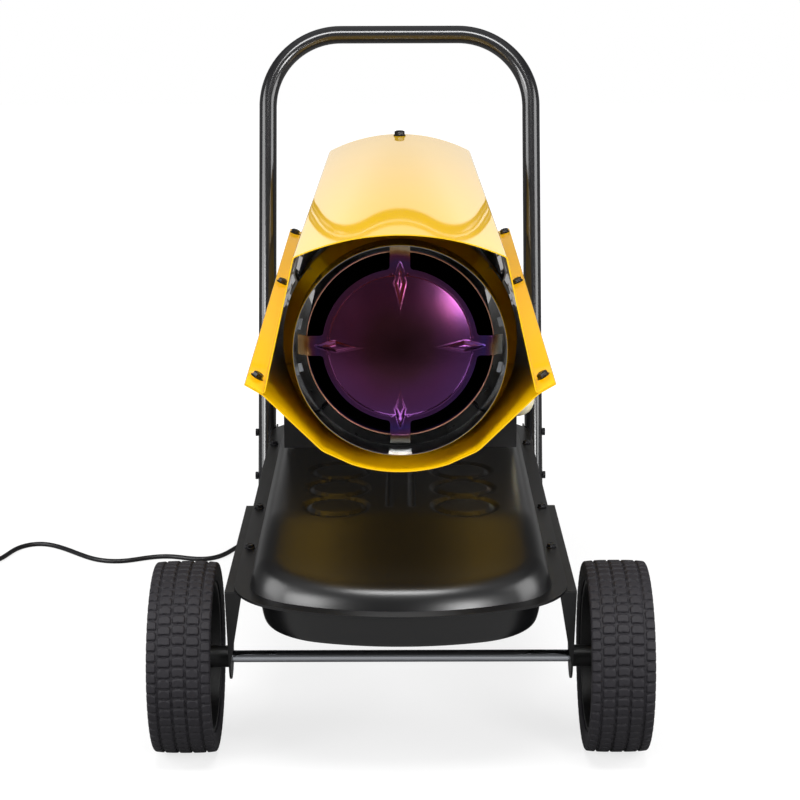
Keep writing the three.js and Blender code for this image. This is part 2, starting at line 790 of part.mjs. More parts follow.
const HANDLE_BRACKET_X = HANDLE_X - TUBE_R - GAP; // outer face of the bracket's plate
function handleBracket() {
  const top = flangeDown - TANK_SHEET - GAP;
  const s = BRACKET_SHEET;
  const x1 = HANDLE_BRACKET_X;
  const strip = box(BRACKET_STRIP_IN_X, x1, HANDLE_BRACKET_FRONT_Y, HANDLE_BRACKET_REAR_Y - 60, top - s, top);
  const low = HANDLE_BRACKET_LOW_Z;
  const back = (z) => handleY(z) + TUBE_R;
  const plate = plateX(
    [
      V2(HANDLE_BRACKET_FRONT_Y, top),
      V2(HANDLE_BRACKET_FRONT_Y, top - 18),
      V2(handleY(low) - TUBE_R, low),
      V2(back(low), low),
      V2(back(top), top),
    ],
    x1 - s,
    x1,
  );
  return cut(join(strip, plate), boltHole(BOLT_UPPER_Z, x1), boltHole(BOLT_LOWER_Z, x1));
}

function handleBolt(z) {
  const out = HANDLE_X + TUBE_R + GAP;
  const inner = HANDLE_BRACKET_X - BRACKET_SHEET - GAP;
  const profile = [
    [0, inner - 10],
    [BOLT_R, inner - 10],
    [BOLT_R, out],
    [BOLT_HEAD_R, out],
    [BOLT_HEAD_R, out + BOLT_HEAD_H],
    [0, out + BOLT_HEAD_H],
  ];
  const nut = turnedX(ring(BOLT_HEAD_R, BOLT_R - 1, inner - 6, inner), handleY(z), z, 6);
  return join(turnedX(profile, handleY(z), z, 12), nut);
}
for (const [name, side] of SIDES) {
  add("handle_bracket_" + name, mirrorIf(handleBracket(), side), BLACK_SATIN);
  add("handle_bolt_upper_" + name, mirrorIf(handleBolt(BOLT_UPPER_Z), side), GALVANISED);
  add("handle_bolt_lower_" + name, mirrorIf(handleBolt(BOLT_LOWER_Z), side), GALVANISED);
}

// ---------------------------------------------------------------- housing shells
const sectionAt = (t) => {
  const mix = (a, b) => a + (b - a) * t;
  const out = {};
  for (const key of Object.keys(SECTION_FRONT)) {
    const [a, b] = [SECTION_FRONT[key], SECTION_REAR[key]];
    out[key] = Array.isArray(a) ? V2(mix(a[0], b[0]), mix(a[1], b[1])) : mix(a, b);
  }
  return out;
};

// An arc through (-x, z), (0, middle) and (x, z).
function archPoints(x, z, middle, steps) {
  const rise = middle - z;
  const r = (x * x + rise * rise) / (2 * Math.abs(rise));
  const half = Math.asin(x / r);
  const up = Math.sign(rise);
  return Array.from({ length: steps + 1 }, (_, i) => {
    const a = half * ((2 * i) / steps - 1);
    return V2(r * Math.sin(a), middle - up * r * (1 - Math.cos(a)));
  });
}

const leftOf = (p) => V2(-p.x, p.y);
function upperLine(s) {
  const arch = archPoints(s.corner.x, s.corner.y, s.top, SHELL_ARC_STEPS);
  return [leftOf(s.tip), leftOf(s.fold), ...arch, s.fold, s.tip];
}
// The lower shell's flange lies under the upper one's.
function lowerLine(s) {
  const along = s.fold.clone().sub(s.tip).normalize();
  const drop = 2 * SHELL_SHEET + GAP;
  const under = V2(along.y, -along.x).multiplyScalar(drop);
  if (under.y > 0) under.negate();
  const tip = s.tip.clone().add(under);
  const fold = s.fold.clone().add(under);
  const arch = archPoints(s.keel.x, s.keel.y, s.bottom, SHELL_ARC_STEPS - 4);
  return [leftOf(tip), leftOf(fold), leftOf(s.hip), ...arch, s.hip, fold, tip];
}

const shellFrontY = (z) =>
  SHELL_TOP_FRONT_Y +
  ((SECTION_FRONT.top - z) * (SHELL_BOTTOM_FRONT_Y - SHELL_TOP_FRONT_Y)) /
    (SECTION_FRONT.top - SECTION_FRONT.bottom);
function shell(line, t) {
  const rings = Array.from({ length: SHELL_STATIONS + 1 }, (_, i) => {
    const share = i / SHELL_STATIONS;
    return sheetOutline(line(sectionAt(share)), t).map((p) => {
      const front = shellFrontY(p.y);
      return V3(p.x, front + (SHELL_REAR_Y - front) * share, p.y);
    });
  });
  return loft(rings, flatFaces(sheetOutline(line(sectionAt(0)), t)));
}
add("upper_shell", shell(upperLine, -SHELL_SHEET), YELLOW);
const FUEL_LINE_Y = FILTER_Y;
const lineHole = turnedZ(
  disc(FUEL_LINE_R + 1, SECTION_FRONT.bottom - 10, SECTION_FRONT.bottom + 20), 0, FUEL_LINE_Y, 12);
add("lower_shell", cut(shell(lowerLine, SHELL_SHEET), lineHole), YELLOW);

// Place along the housing, 0 at the front and 1 at the rear, of a plane y.
const shareAt = (y) => (y - SHELL_TOP_FRONT_Y) / (SHELL_REAR_Y - SHELL_TOP_FRONT_Y);

// ---------------------------------------------------------------- outlet
const coneIn = CONE_R - CONE_SHEET;
const collarIn = CONE_RIM_R - CONE_SHEET;
add(
  "outlet_cone",
  turnedY([
    [CONE_RIM_R, CONE_RIM_Y],
    [CONE_RIM_R, CONE_COLLAR_REAR_Y],
    [CONE_R, CONE_SHOULDER_Y],
    [CONE_R, CONE_REAR_Y],
    [coneIn, CONE_REAR_Y],
    [coneIn, CONE_SHOULDER_Y + CONE_SHEET / 2],
    [collarIn, CONE_COLLAR_REAR_Y + CONE_SHEET / 2],
    [collarIn, CONE_RIM_Y],
    [CONE_RIM_R, CONE_RIM_Y],
  ]),
  GALVANISED,
);

// a folded strip from the cone to the side wall of the upper shell
function coneBracket() {
  const y0 = CONE_SHOULDER_Y + 12;
  const y1 = CONE_REAR_Y - 4;
  const s = sectionAt(shareAt((y0 + y1) / 2));
  const wall = s.corner.clone().sub(s.fold).normalize();
  const inward = V2(-wall.y, wall.x);
  const t = CONE_BRACKET_SHEET;
  const seat = s.fold.clone().lerp(s.corner, 0.86).addScaledVector(inward, SHELL_SHEET + t + 3 * GAP);
  const seatLow = seat.clone().addScaledVector(wall, -20);
  const angle = Math.atan2(seatLow.y - 16 - AXIS_Z, seatLow.x);
  const radial = V2(Math.cos(angle), Math.sin(angle));
  const around = V2(-radial.y, radial.x);
  const base = V2(0, AXIS_Z).addScaledVector(radial, CONE_R + GAP);
  const line = [base.clone().addScaledVector(around, -12), base.clone().addScaledVector(around, 6)];
  return plateY(sheetOutline([...line, seatLow, seat], -t), y0, y1);
}
for (const [name, side] of SIDES)
  add("cone_bracket_" + name, mirrorIf(coneBracket(), side), GALVANISED);

const shieldOut = coneIn - GAP;
const shieldIn = shieldOut - CONE_SHEET;
add("heat_shield", turnedY(ring(shieldOut, shieldIn, SHIELD_FRONT_Y, SHIELD_REAR_Y)), GALVANISED);

function chamber() {
  const inner = CHAMBER_R - CHAMBER_SHEET;
  const finTip = shieldIn * FLAT - GAP;
  const tubeAndPlate = turnedY([
    [CHAMBER_R, CHAMBER_FRONT_Y],
    [CHAMBER_R, CHAMBER_REAR_Y],
    [BURNER_R, CHAMBER_REAR_Y],
    [BURNER_R, CHAMBER_REAR_Y - CHAMBER_SHEET],
    [inner, CHAMBER_REAR_Y - CHAMBER_SHEET],
    [inner, CHAMBER_FRONT_Y],
    [CHAMBER_R, CHAMBER_FRONT_Y],
  ]);
  const fins = [];
  for (let i = 0; i < 4; i++)
    for (const y of [CHAMBER_FIN_FRONT_Y, CHAMBER_FIN_REAR_Y])
      fins.push(
        box(-CHAMBER_FIN_T / 2, CHAMBER_FIN_T / 2, y, y + CHAMBER_FIN_L, inner + 0.5, finTip)
          .rotateY(Math.PI / 4 + (i * Math.PI) / 2)
          .translate(0, 0, AXIS_Z),
      );
  return join(tubeAndPlate, ...fins);
}
add("combustion_chamber", chamber(), TINTED);

// The deflector: a domed disc with four arms whose ends fold back and stand on the collar.
function deflector() {
  const t = DEFLECTOR_SHEET;
  const dome = (r) => DEFLECTOR_Y - DEFLECTOR_DOME * (1 - (r / DEFLECTOR_R) ** 2);
  const radii = [0, 0.35, 0.62, 0.84, 1].map((f) => f * DEFLECTOR_R);
  const front = radii.map((r) => [r, dome(r)]);
  const back = radii.map((r) => [r, dome(r) + t]).reverse();
  const pieces = [turnedY([...front, ...back])];
  const half = DEFLECTOR_ARM_W / 2;
  const wallR = Math.sqrt((collarIn * FLAT) ** 2 - half ** 2) - GAP;
  const side = [
    V2(DEFLECTOR_R - 6, DEFLECTOR_Y - 0.4),
    V2(DEFLECTOR_FOLD_R, DEFLECTOR_Y - 0.4),
    V2(wallR - t, DEFLECTOR_Y + 0.8 * (wallR - DEFLECTOR_FOLD_R)),
  ];
  const outline = sheetOutline(side, -t);
  const rib = [
    V2(DEFLECTOR_R * 0.42, dome(DEFLECTOR_R * 0.42) + t / 2),
    V2(DEFLECTOR_R * 0.8, dome(DEFLECTOR_R * 0.8) - DEFLECTOR_RIB_H),
    V2(DEFLECTOR_R + 4, DEFLECTOR_Y - DEFLECTOR_RIB_H / 2),
    V2(DEFLECTOR_R + 10, DEFLECTOR_Y),
    V2(DEFLECTOR_R * 0.8, dome(DEFLECTOR_R * 0.8) + t / 2),
  ];
  for (let i = 0; i < 4; i++) {
    const turn = (g) => g.rotateY((i * Math.PI) / 2).translate(0, 0, AXIS_Z);
    // outlines are (radius, y); plateZ draws them at a width across the arm
    pieces.push(turn(plateZ(outline, -half, half)));
    pieces.push(turn(plateZ(rib, -2.5, 2.5)));
  }
  return join(...pieces);
}
add("flame_deflector", deflector(), TINTED);

// ---------------------------------------------------------------- burner
const burnerOut = BURNER_R - GAP;
const burnerFront = CHAMBER_REAR_Y - BURNER_DEPTH;
function burnerHead() {
  const t = BURNER_SHEET;
  const cup = turnedY([
    [ADAPTER_R + GAP, burnerFront],
    [burnerOut, burnerFront],
    [burnerOut, CHAMBER_REAR_Y + GAP],
    [burnerOut + 12, CHAMBER_REAR_Y + GAP],
    [burnerOut + 12, CHAMBER_REAR_Y + GAP + t],
    [burnerOut - t, CHAMBER_REAR_Y + GAP + t],
    [burnerOut - t, burnerFront + t],
    [ADAPTER_R + GAP, burnerFront + t],
    [ADAPTER_R + GAP, burnerFront],
  ]);
  const slots = Array.from({ length: SWIRL_SLOTS }, (_, i) =>
    box(-2, 2, burnerFront - 5, burnerFront + t + 5, 40, 54)
      .rotateY((2 * Math.PI * (i + 0.5)) / SWIRL_SLOTS)
      .translate(0, 0, AXIS_Z),
  );
  const rod = (r, x, z) =>
    turnedY(disc(r + GAP, burnerFront - 5, burnerFront + t + 5), x, AXIS_Z + z, 10);
  return cut(
    cup,
    ...slots,
    rod(ELECTRODE_R, -ELECTRODE_X, 0),
    rod(ELECTRODE_R, ELECTRODE_X, 0),
    rod(PHOTOCELL_R, 0, PHOTOCELL_Z),
  );
}
add("burner_head", burnerHead(), GALVANISED);

// The nozzle is screwed into an adapter that brings it fuel from below and air from the side.
const adapterFront = burnerFront - 6;
const adapterRear = FUEL_LINE_Y + 14;
add(
  "nozzle",
  cut(
    join(
      turnedY(disc(ADAPTER_R, adapterFront, adapterRear), 0, AXIS_Z, 16),
      turnedY(
        [
          [0, adapterFront - NOZZLE_L],
          [NOZZLE_R * 0.35, adapterFront - NOZZLE_L],
          [NOZZLE_R, adapterFront - NOZZLE_L * 0.5],
          [NOZZLE_R, adapterFront + 1],
          [0, adapterFront + 1],
        ],
        0,
        AXIS_Z,
        6,
      ),
    ),
    turnedZ(disc(FUEL_LINE_R + GAP, AXIS_Z - 30, AXIS_Z - 4), 0, FUEL_LINE_Y, 12),
    turnedX(disc(AIR_LINE_R + GAP, 6, 30), FUEL_LINE_Y, AXIS_Z, 12),
  ),
  BRASS,
);
for (const [name, side] of SIDES)
  add(
    "electrode_" + name,
    turnedY(
      disc(ELECTRODE_R, burnerFront - 14, burnerFront - 14 + ELECTRODE_L),
      side * ELECTRODE_X,
      AXIS_Z,
      10,
    ),
    CERAMIC,
  );
add(
  "photocell",
  turnedY(
    disc(PHOTOCELL_R, burnerFront - 2, burnerFront - 2 + PHOTOCELL_L),
    0,
    AXIS_Z + PHOTOCELL_Z,
    10,
  ),
  PLASTIC,
);

// ---------------------------------------------------------------- fan, motor and pump
function fan() {
  const hub = turnedY(ring(FAN_HUB_R, SHAFT_R + GAP, FAN_Y, FAN_Y + FAN_HUB_L), 0, AXIS_Z, 20);
  const bladeRing = (r) => {
    const f = (r - FAN_HUB_R) / (FAN_R - FAN_HUB_R);
    const chord = 30 + 34 * f;
    const pitch = 0.85 - 0.4 * f;
    const across = V2(Math.cos(pitch), Math.sin(pitch)).multiplyScalar(chord / 2);
    const thick = V2(-Math.sin(pitch), Math.cos(pitch)).multiplyScalar(FAN_BLADE_T / 2);
    const middle = FAN_Y + FAN_HUB_L / 2;
    return [
      [-1, -1],
      [1, -1],
      [1, 1],
      [-1, 1],
    ].map(([a, b]) =>
      V3(a * across.x + b * thick.x, middle + a * across.y + b * thick.y, r),
    );
  };
  const radii = [FAN_HUB_R - 4, 50, 75, 100, FAN_R];
  const faces = [
    [0, 1, 2],
    [0, 2, 3],
  ];
  const blades = Array.from({ length: FAN_BLADES }, (_, i) =>
    loft(radii.map(bladeRing), faces)
      .rotateY((2 * Math.PI * i) / FAN_BLADES)
      .translate(0, 0, AXIS_Z),
  );
  return join(hub, ...blades);
}
add("fan", fan(), PLASTIC);
add("motor_shaft", turnedY(disc(SHAFT_R, SHAFT_FRONT_Y, SHAFT_REAR_Y), 0, AXIS_Z, 12), BRIGHT);

const motorRear = MOTOR_Y + MOTOR_L;
const bandFront = MOTOR_Y + (MOTOR_L - MOTOR_BAND_W) / 2;
const shaftBore = SHAFT_R + GAP;
add(
  "motor",
  turnedY(
    [
      [shaftBore, MOTOR_Y - 12],
      [18, MOTOR_Y - 12],
      [18, MOTOR_Y],
      [MOTOR_R - 8, MOTOR_Y],
      [MOTOR_R, MOTOR_Y + 8],
      [MOTOR_R, motorRear - 8],
      [MOTOR_R - 8, motorRear],
      [shaftBore, motorRear],
      [shaftBore, MOTOR_Y - 12],
    ],
    0,
    AXIS_Z,
    28,
  ),
  CAST,
);

function motorBracket() {
  const s = sectionAt(shareAt(bandFront));
  const rise = (s.keel.y - s.bottom) * (MOTOR_FOOT_HALF_W / s.keel.x) ** 2;
  const floor = s.bottom + rise + SHELL_SHEET + GAP;
  const y1 = bandFront + MOTOR_BAND_W;
  const band = turnedY(ring(MOTOR_R + 6, MOTOR_R + 0.5, bandFront, y1), 0, AXIS_Z, 28);
  const top = AXIS_Z - MOTOR_R - 3;
  const half = MOTOR_FOOT_HALF_W;
  const stem = box(8 - half, half - 8, bandFront, y1, floor + 2, top);
  const base = box(-half, half, bandFront - 10, y1 + 10, floor, floor + 4);
  const hollow = box(14 - half, half - 14, bandFront - 1, y1 + 1, floor + 12, top - 10);
  const bore = turnedY(disc(MOTOR_R + 0.5, bandFront - 1, y1 + 1), 0, AXIS_Z, 28);
  return join(cut(stem, bore, hollow), band, base);
}
add("motor_bracket", motorBracket(), BLACK_SATIN);

const pumpFront = motorRear + GAP;
const pumpRear = pumpFront + PUMP_L;
add(
  "pump_body",
  cut(
    turnedY(
      [
        [shaftBore, pumpFront],
        [PUMP_R, pumpFront],
        [PUMP_R, pumpRear],
        [PUMP_BORE_R, pumpRear],
        [PUMP_BORE_R, pumpFront + 5],
        [shaftBore, pumpFront + 5],
        [shaftBore, pumpFront],
      ],
      0,
      AXIS_Z,
      24,
    ),
    turnedX(disc(AIR_LINE_R + GAP, PUMP_R - 6, PUMP_R + 6), pumpFront + PUMP_L / 2, AXIS_Z, 12),
  ),
  CAST,
);
function pumpRotor() {
  const y0 = pumpFront + 5 + 2 * GAP;
  const y1 = pumpRear - 2 * GAP;
  const drum = turnedY(ring(PUMP_BORE_R - 5, shaftBore, y0, y1), 0, AXIS_Z, 20);
  const vanes = Array.from({ length: 4 }, (_, i) =>
    box(-1.5, 1.5, y0, y1, PUMP_BORE_R - 9, PUMP_BORE_R - 2 * GAP)
      .rotateY((i * Math.PI) / 2)
      .translate(0, 0, AXIS_Z),
  );
  return join(drum, ...vanes);
}
add("pump_rotor", pumpRotor(), GALVANISED);
const coverFront = pumpRear + GAP;
const coverRear = coverFront + PUMP_COVER_L;
const coverOutline = [
  [0, coverFront],
  [PUMP_R, coverFront],
  [PUMP_R, coverRear - 4],
  [PUMP_R - 4, coverRear],
  [0, coverRear],
];
const gaugeOutline = [
  [0, coverRear - 1],
  [6, coverRear - 1],
  [6, coverRear + 8],
  [GAUGE_R, coverRear + 8],
  [GAUGE_R, coverRear + GAUGE_L],
  [0, coverRear + GAUGE_L],
];
add(
  "pump_cover",
  join(turnedY(coverOutline, 0, AXIS_Z, 24), turnedY(gaugeOutline, 0, AXIS_Z + 18, 16)),
  CAST,
);
{
  const bend = 16;
  const yPump = pumpFront + PUMP_L / 2;
  const startX = PUMP_R - 4;
  const endX = 8;
  const outer = arcPoints(AIR_LINE_X - bend, yPump - bend, bend, Math.PI / 2, 0, 4);
  const inner = arcPoints(AIR_LINE_X - bend, FUEL_LINE_Y + bend, bend, 0, -Math.PI / 2, 4);
  const route = [V2(startX, yPump), ...outer, ...inner, V2(endX, FUEL_LINE_Y)];
  add("air_line", tube(route.map((p) => V3(p.x, p.y, AXIS_Z)), AIR_LINE_R, 8), PLASTIC);
}

// ---------------------------------------------------------------- rear guard
function rearGuard() {
  const w = GUARD_WIRE / 2;
  const y = GUARD_Y;
  const pieces = [];
  for (let i = 0; i < GUARD_RINGS; i++) {
    const r = (GUARD_R * (i + 1)) / GUARD_RINGS;
    pieces.push(turnedY(ring(r + w, r - w, y - w, y + w), 0, AXIS_Z, GUARD_SEGMENTS));
  }
  const bar = (from, to, angle) =>
    box(-w, w, y - w, y + w, from, to).rotateY(angle).translate(0, 0, AXIS_Z);
  const first = GUARD_R / GUARD_RINGS;
  for (let i = 0; i < GUARD_SPOKES; i++)
    pieces.push(bar(first - 1, GUARD_R, (2 * Math.PI * i) / GUARD_SPOKES));
  const s = sectionAt(shareAt(y));
  pieces.push(bar(GUARD_R - 1, s.top - AXIS_Z - SHELL_SHEET - 2 * GAP, 0));
  pieces.push(bar(GUARD_R - 1, AXIS_Z - s.bottom - SHELL_SHEET - 2 * GAP, Math.PI));
  return join(...pieces);
}
add("rear_guard", rearGuard(), BLACK_GLOSS);

// ---------------------------------------------------------------- pedestals
function pedestal(y, inwardY) {
  const t = PEDESTAL_SHEET;
  const s = sectionAt(shareAt(y));
  const base = TANK_TOP_Z + GAP;
  const [y0, y1] = [y, y + t];
  // the saddle follows the lower shell, a clearance below it
  const fold = lowerLine(s).at(-2);
  const along = fold.clone().sub(s.hip).normalize();
  const off = V2(along.y, -along.x).multiplyScalar(PEDESTAL_CLEAR);
  const reach = (PEDESTAL_HEIGHT_Z - s.hip.y) / along.y;
  const high = s.hip.clone().addScaledVector(along, reach).add(off);
  const hip = s.hip.clone().add(off);
  const arch = archPoints(s.keel.x, s.keel.y - PEDESTAL_CLEAR, s.bottom - PEDESTAL_CLEAR, 6);
  const outline = [
    V2(-PEDESTAL_X, base),
    V2(PEDESTAL_X, base),
    V2(PEDESTAL_X, PEDESTAL_HEIGHT_Z),
    high,
    hip,
    ...arch.reverse(),
    leftOf(hip),
    leftOf(high),
    V2(-PEDESTAL_X, PEDESTAL_HEIGHT_Z),
  ];
  const pieces = [plateY(outline, y0, y1)];
  const depth = inwardY > 0 ? [y0, y0 + PEDESTAL_RETURN] : [y1 - PEDESTAL_RETURN, y1];
  for (const [, side] of SIDES) {
    const [a, b] = side > 0 ? [PEDESTAL_X - t, PEDESTAL_X] : [-PEDESTAL_X, -PEDESTAL_X + t];
    pieces.push(box(a, b, depth[0], depth[1], base + 6, PEDESTAL_HEIGHT_Z));
  }
  const footY = inwardY > 0 ? [y0, y0 + PEDESTAL_FOOT] : [y1 - PEDESTAL_FOOT, y1];
  pieces.push(box(-PEDESTAL_X + 16, PEDESTAL_X - 16, footY[0], footY[1], base, base + t));
  return join(...pieces);
}
add("pedestal_front", pedestal(PEDESTAL_FRONT_Y, 1), BLACK_SATIN);
add("pedestal_rear", pedestal(PEDESTAL_REAR_Y, -1), BLACK_SATIN);

// ---------------------------------------------------------------- control box
const boxFace = BOX_X[0];
const boxBase = TANK_TOP_Z + GAP;
function controlBox() {
  const e = BOX_EDGE;
  const [x0, x1] = BOX_X;
  const outline = [
    V2(x0 + e, boxBase),
    V2(x1, boxBase),
    V2(x1, BOX_TOP_Z),
    V2(x0 + e, BOX_TOP_Z),
    V2(x0, BOX_TOP_Z - e),
    V2(x0, boxBase + e),
  ];
  const body = plateY(outline, BOX_Y[0], BOX_Y[1]);
  const [w, h] = SWITCH_SIZE;
  const switchPocket = box(
    x0 - 1, x0 + 12, SWITCH_Y - w / 2 - GAP, SWITCH_Y + w / 2 + GAP,
    SWITCH_Z - h / 2 - 1.5, SWITCH_Z + h / 2 + 1.5);
  const knobHole = turnedX(disc(3 + GAP, x0 - 1, x0 + 10), KNOB_Y, KNOB_Z, 10);
  const resetHole = turnedX(disc(RESET_R + GAP, x0 - 1, x0 + 12), RESET_Y, RESET_Z, 12);
  const glandHole = turnedY(disc(LEAD_R + 3 + GAP, BOX_Y[1] - 10, BOX_Y[1] + 1), GLAND_X, GLAND_Z, 12);
  return cut(body, switchPocket, knobHole, resetHole, glandHole);
}
add("control_box", controlBox(), PLASTIC);

add(
  "thermostat_knob",
  join(
    turnedX(
      [
        [0, boxFace - GAP - KNOB_L],
        [KNOB_R - 3, boxFace - GAP - KNOB_L],
        [KNOB_R, boxFace - GAP - 2],
        [KNOB_R, boxFace - GAP],
        [3, boxFace - GAP],
        [3, boxFace + 8],
        [0, boxFace + 8],
      ],
      KNOB_Y,
      KNOB_Z,
      20,
    ),
    box(boxFace - GAP - KNOB_L - 1.2, boxFace - GAP - 3, KNOB_Y - 1.5, KNOB_Y + 1.5,
      KNOB_Z, KNOB_Z + KNOB_R - 1.5),
  ),
  PLASTIC,
);

// rocker with a shallow V face, on a pivot inside the box
function rocker() {
  const [w, h] = SWITCH_SIZE;
  const outline = [
    [boxFace + 8, SWITCH_Z - h / 2 + 3],
    [boxFace - 0.5, SWITCH_Z - h / 2],
    [boxFace - 2.5, SWITCH_Z],
    [boxFace - 4.5, SWITCH_Z + h / 2 - 1],
    [boxFace + 8, SWITCH_Z + h / 2 - 3],
  ].map(([x, z]) => V2(x, z));
  return plateY(outline, SWITCH_Y - w / 2, SWITCH_Y + w / 2);
}
add("power_switch", rocker(), SWITCH_RED);
add(
  "reset_button",
  turnedX(disc(RESET_R, boxFace - RESET_STROKE - 1, boxFace + 8), RESET_Y, RESET_Z, 16),
  SWITCH_RED,
);

// ---------------------------------------------------------------- fuel fittings
const capBase = TANK_TOP_Z + GAP;
add(
  "fuel_cap",
  cut(
    turnedZ(
      [
        [0, capBase],
        [FUEL_CAP_R, capBase],
        [FUEL_CAP_R, capBase + FUEL_CAP_H - 3],
        [FUEL_CAP_R - 3, capBase + FUEL_CAP_H],
        [0, capBase + FUEL_CAP_H],
      ],
      FUEL_CAP_X,
      FUEL_CAP_Y,
      20,
    ),
    turnedZ(disc(FUEL_NECK_R + 0.8, capBase - 1, TANK_TOP_Z + FUEL_NECK_H + GAP), FUEL_CAP_X, FUEL_CAP_Y, 20),
    ...Array.from({ length: 8 }, (_, i) =>
      box(-2, 2, -2, 2, capBase + 3, capBase + FUEL_CAP_H + 1)
        .translate(FUEL_CAP_R + 1, 0, 0)
        .rotateZ((Math.PI * i) / 4)
        .translate(FUEL_CAP_X, FUEL_CAP_Y, 0),
    ),
  ),
  PLASTIC,
);
add(
  "fuel_gauge",
  turnedZ(
    [
      [0, capBase],
      [FUEL_GAUGE_R, capBase],
      [FUEL_GAUGE_R, capBase + FUEL_GAUGE_H - 4],
      [FUEL_GAUGE_R - 4, capBase + FUEL_GAUGE_H],
      [0, capBase + FUEL_GAUGE_H],
    ],
    FUEL_CAP_X,
    FUEL_GAUGE_Y,
    18,
  ),
  PLASTIC,
);
// The filter hangs from a head that is fixed to the outside of the front pedestal.
const bowlTop = FILTER_Z + FILTER_BOWL_H;
const headBase = bowlTop + GAP;
const headTop = headBase + FILTER_HEAD_H;
const bowlCurve = arcPoints(0, FILTER_Z + FILTER_R, FILTER_R, -Math.PI / 2, 0, 6);
add(
  "fuel_filter_bowl",
  turnedZ([...bowlCurve.map((p) => [Math.max(p.x, 0), p.y]), [FILTER_R, bowlTop], [0, bowlTop]],
    FILTER_X, FILTER_Y, 20),
  CREAM,
);
const suctionPort = turnedY(
  disc(FUEL_LINE_R + GAP, FILTER_Y + FILTER_HEAD_R - 6, FILTER_Y + FILTER_HEAD_R + 2),
  FILTER_X, headBase + FILTER_HEAD_H / 2, 12);
const feedPort = turnedX(
  disc(FUEL_LINE_R + GAP, FILTER_X - FILTER_HEAD_R - 2, FILTER_X - FILTER_HEAD_R + 6),
  FILTER_Y, headBase + FILTER_HEAD_H / 2, 12);
add(
  "fuel_filter_head",
  cut(
    join(
      turnedZ(disc(FILTER_HEAD_R, headBase, headTop), FILTER_X, FILTER_Y, 20),
      box(PEDESTAL_X + GAP, PEDESTAL_X + GAP + 6, PEDESTAL_FRONT_Y + 8, FILTER_Y, headBase + 3, headTop),
    ),
    suctionPort,
    feedPort,
  ),
  PLASTIC,
);
{
  const z = headBase + FILTER_HEAD_H / 2;
  const bend = 16;
  const corner = arcPoints(bend, z + bend, bend, 1.5 * Math.PI, Math.PI, 5);
  const route = [V2(FILTER_X - FILTER_HEAD_R + 4, z), ...corner, V2(0, AXIS_Z - 6)];
  add("fuel_line", tube(route.map((p) => V3(p.x, FUEL_LINE_Y, p.y)), FUEL_LINE_R, 8), RUBBER);
  const suction = [
    V3(FILTER_X, FILTER_Y + FILTER_HEAD_R - 4, z),
    V3(FILTER_X, FILTER_Y + FILTER_HEAD_R + 12, z),
    V3(FILTER_X - 6, FILTER_Y + FILTER_HEAD_R + 42, z - 14),
    V3(SUCTION_X + 8, SUCTION_Y - 8, (z + TANK_TOP_Z) / 2),
    V3(SUCTION_X, SUCTION_Y, TANK_TOP_Z + 24),
    V3(SUCTION_X, SUCTION_Y, TANK_TOP_Z + GAP),
  ];
  add("suction_line", tube(smooth(suction, 18), FUEL_LINE_R, 8), RUBBER);
}

// ---------------------------------------------------------------- mains lead
const boxRear = BOX_Y[1];
const GLAND_L = 34;
add(
  "cord_gland",
  turnedY(
    [
      [0, boxRear - 8],
      [LEAD_R + 3, boxRear - 8],
      [LEAD_R + 3, boxRear + GAP],
      [LEAD_R + 7, boxRear + GAP],
      [LEAD_R + 7, boxRear + 6],
      [LEAD_R + 4, boxRear + 9],
      [LEAD_R + 1, boxRear + GLAND_L],
      [0, boxRear + GLAND_L],
    ],
    GLAND_X,
    GLAND_Z,
    12,
  ),
  RUBBER,
);

// Where the lead lies: out of the gland, over the tank's rear edge, down and along the floor.
const LEAD_POINTS = [
  [-120, 834.6, 330],
  [-120, 846, 330],
  [-121, 868, 326],
  [-124, 896, 304],
  [-127, 918, 262],
  [-130, 930, 200],
  [-133, 936, 130],
  [-139, 943, 66],
  [-152, 951, 22],
  [-178, 957, 5.2],
  [-212, 955, 4],
  [-250, 938, 4],
  [-282, 902, 4],
  [-297, 850, 4],
  [-326, 807, 4],
  [-360, 823, 4],
  [-400, 842, 4],
  [-440, 828, 4],
  [-478, 806, 4],
  [-520, 813, 4],
  [-558, 848, 4],
  [-600, 896, 4],
  [-640, 927, 4],
  [-668, 908, 4],
  [-681, 864, 4],
  [-687, 832, 4.2],
  [-699, 806, 4.6],
  [-711, 787, 5],
  [-717.5, 774, 5.3],
].map(([x, y, z]) => V3(x, y, z));
const LEAD_STEPS = 49;

// One unbroken winding: its turns spiral in on the floor, climb a layer in the half turn where
// the spiral reverses, and spiral out on top. Each end runs straight for one diameter or more.
function coilPoints() {
  const steps = 24 * COIL_TURNS;
  const [x, y] = COIL_AT;
  const run = 2 * LEAD_R + 2;
  const points = [V3(x + COIL_R, y + run, COIL_Z)];
  for (let i = 0; i <= steps; i++) {
    const turn = i / 24;
    const a = -turn * 2 * Math.PI;
    const r = COIL_R - COIL_PITCH * Math.min(turn, COIL_TURNS - turn);
    const climb = THREE.MathUtils.smoothstep(turn, COIL_TURNS / 2 - 0.25, COIL_TURNS / 2 + 0.25);
    points.push(V3(x + r * Math.cos(a), y + r * Math.sin(a), COIL_Z + COIL_PITCH * climb));
  }
  points.push(V3(x - COIL_R, y + run, COIL_Z + COIL_PITCH));
  return points;
}

// The least clear distance between stretches of the coil that are half a turn or more apart.
function leastGap(points) {
  let least = Infinity;
  for (let i = 0; i < points.length; i++)
    for (let j = i + 12; j < points.length; j++)
      least = Math.min(least, points[i].distanceTo(points[j]) - 2 * LEAD_R);
  return least;
}

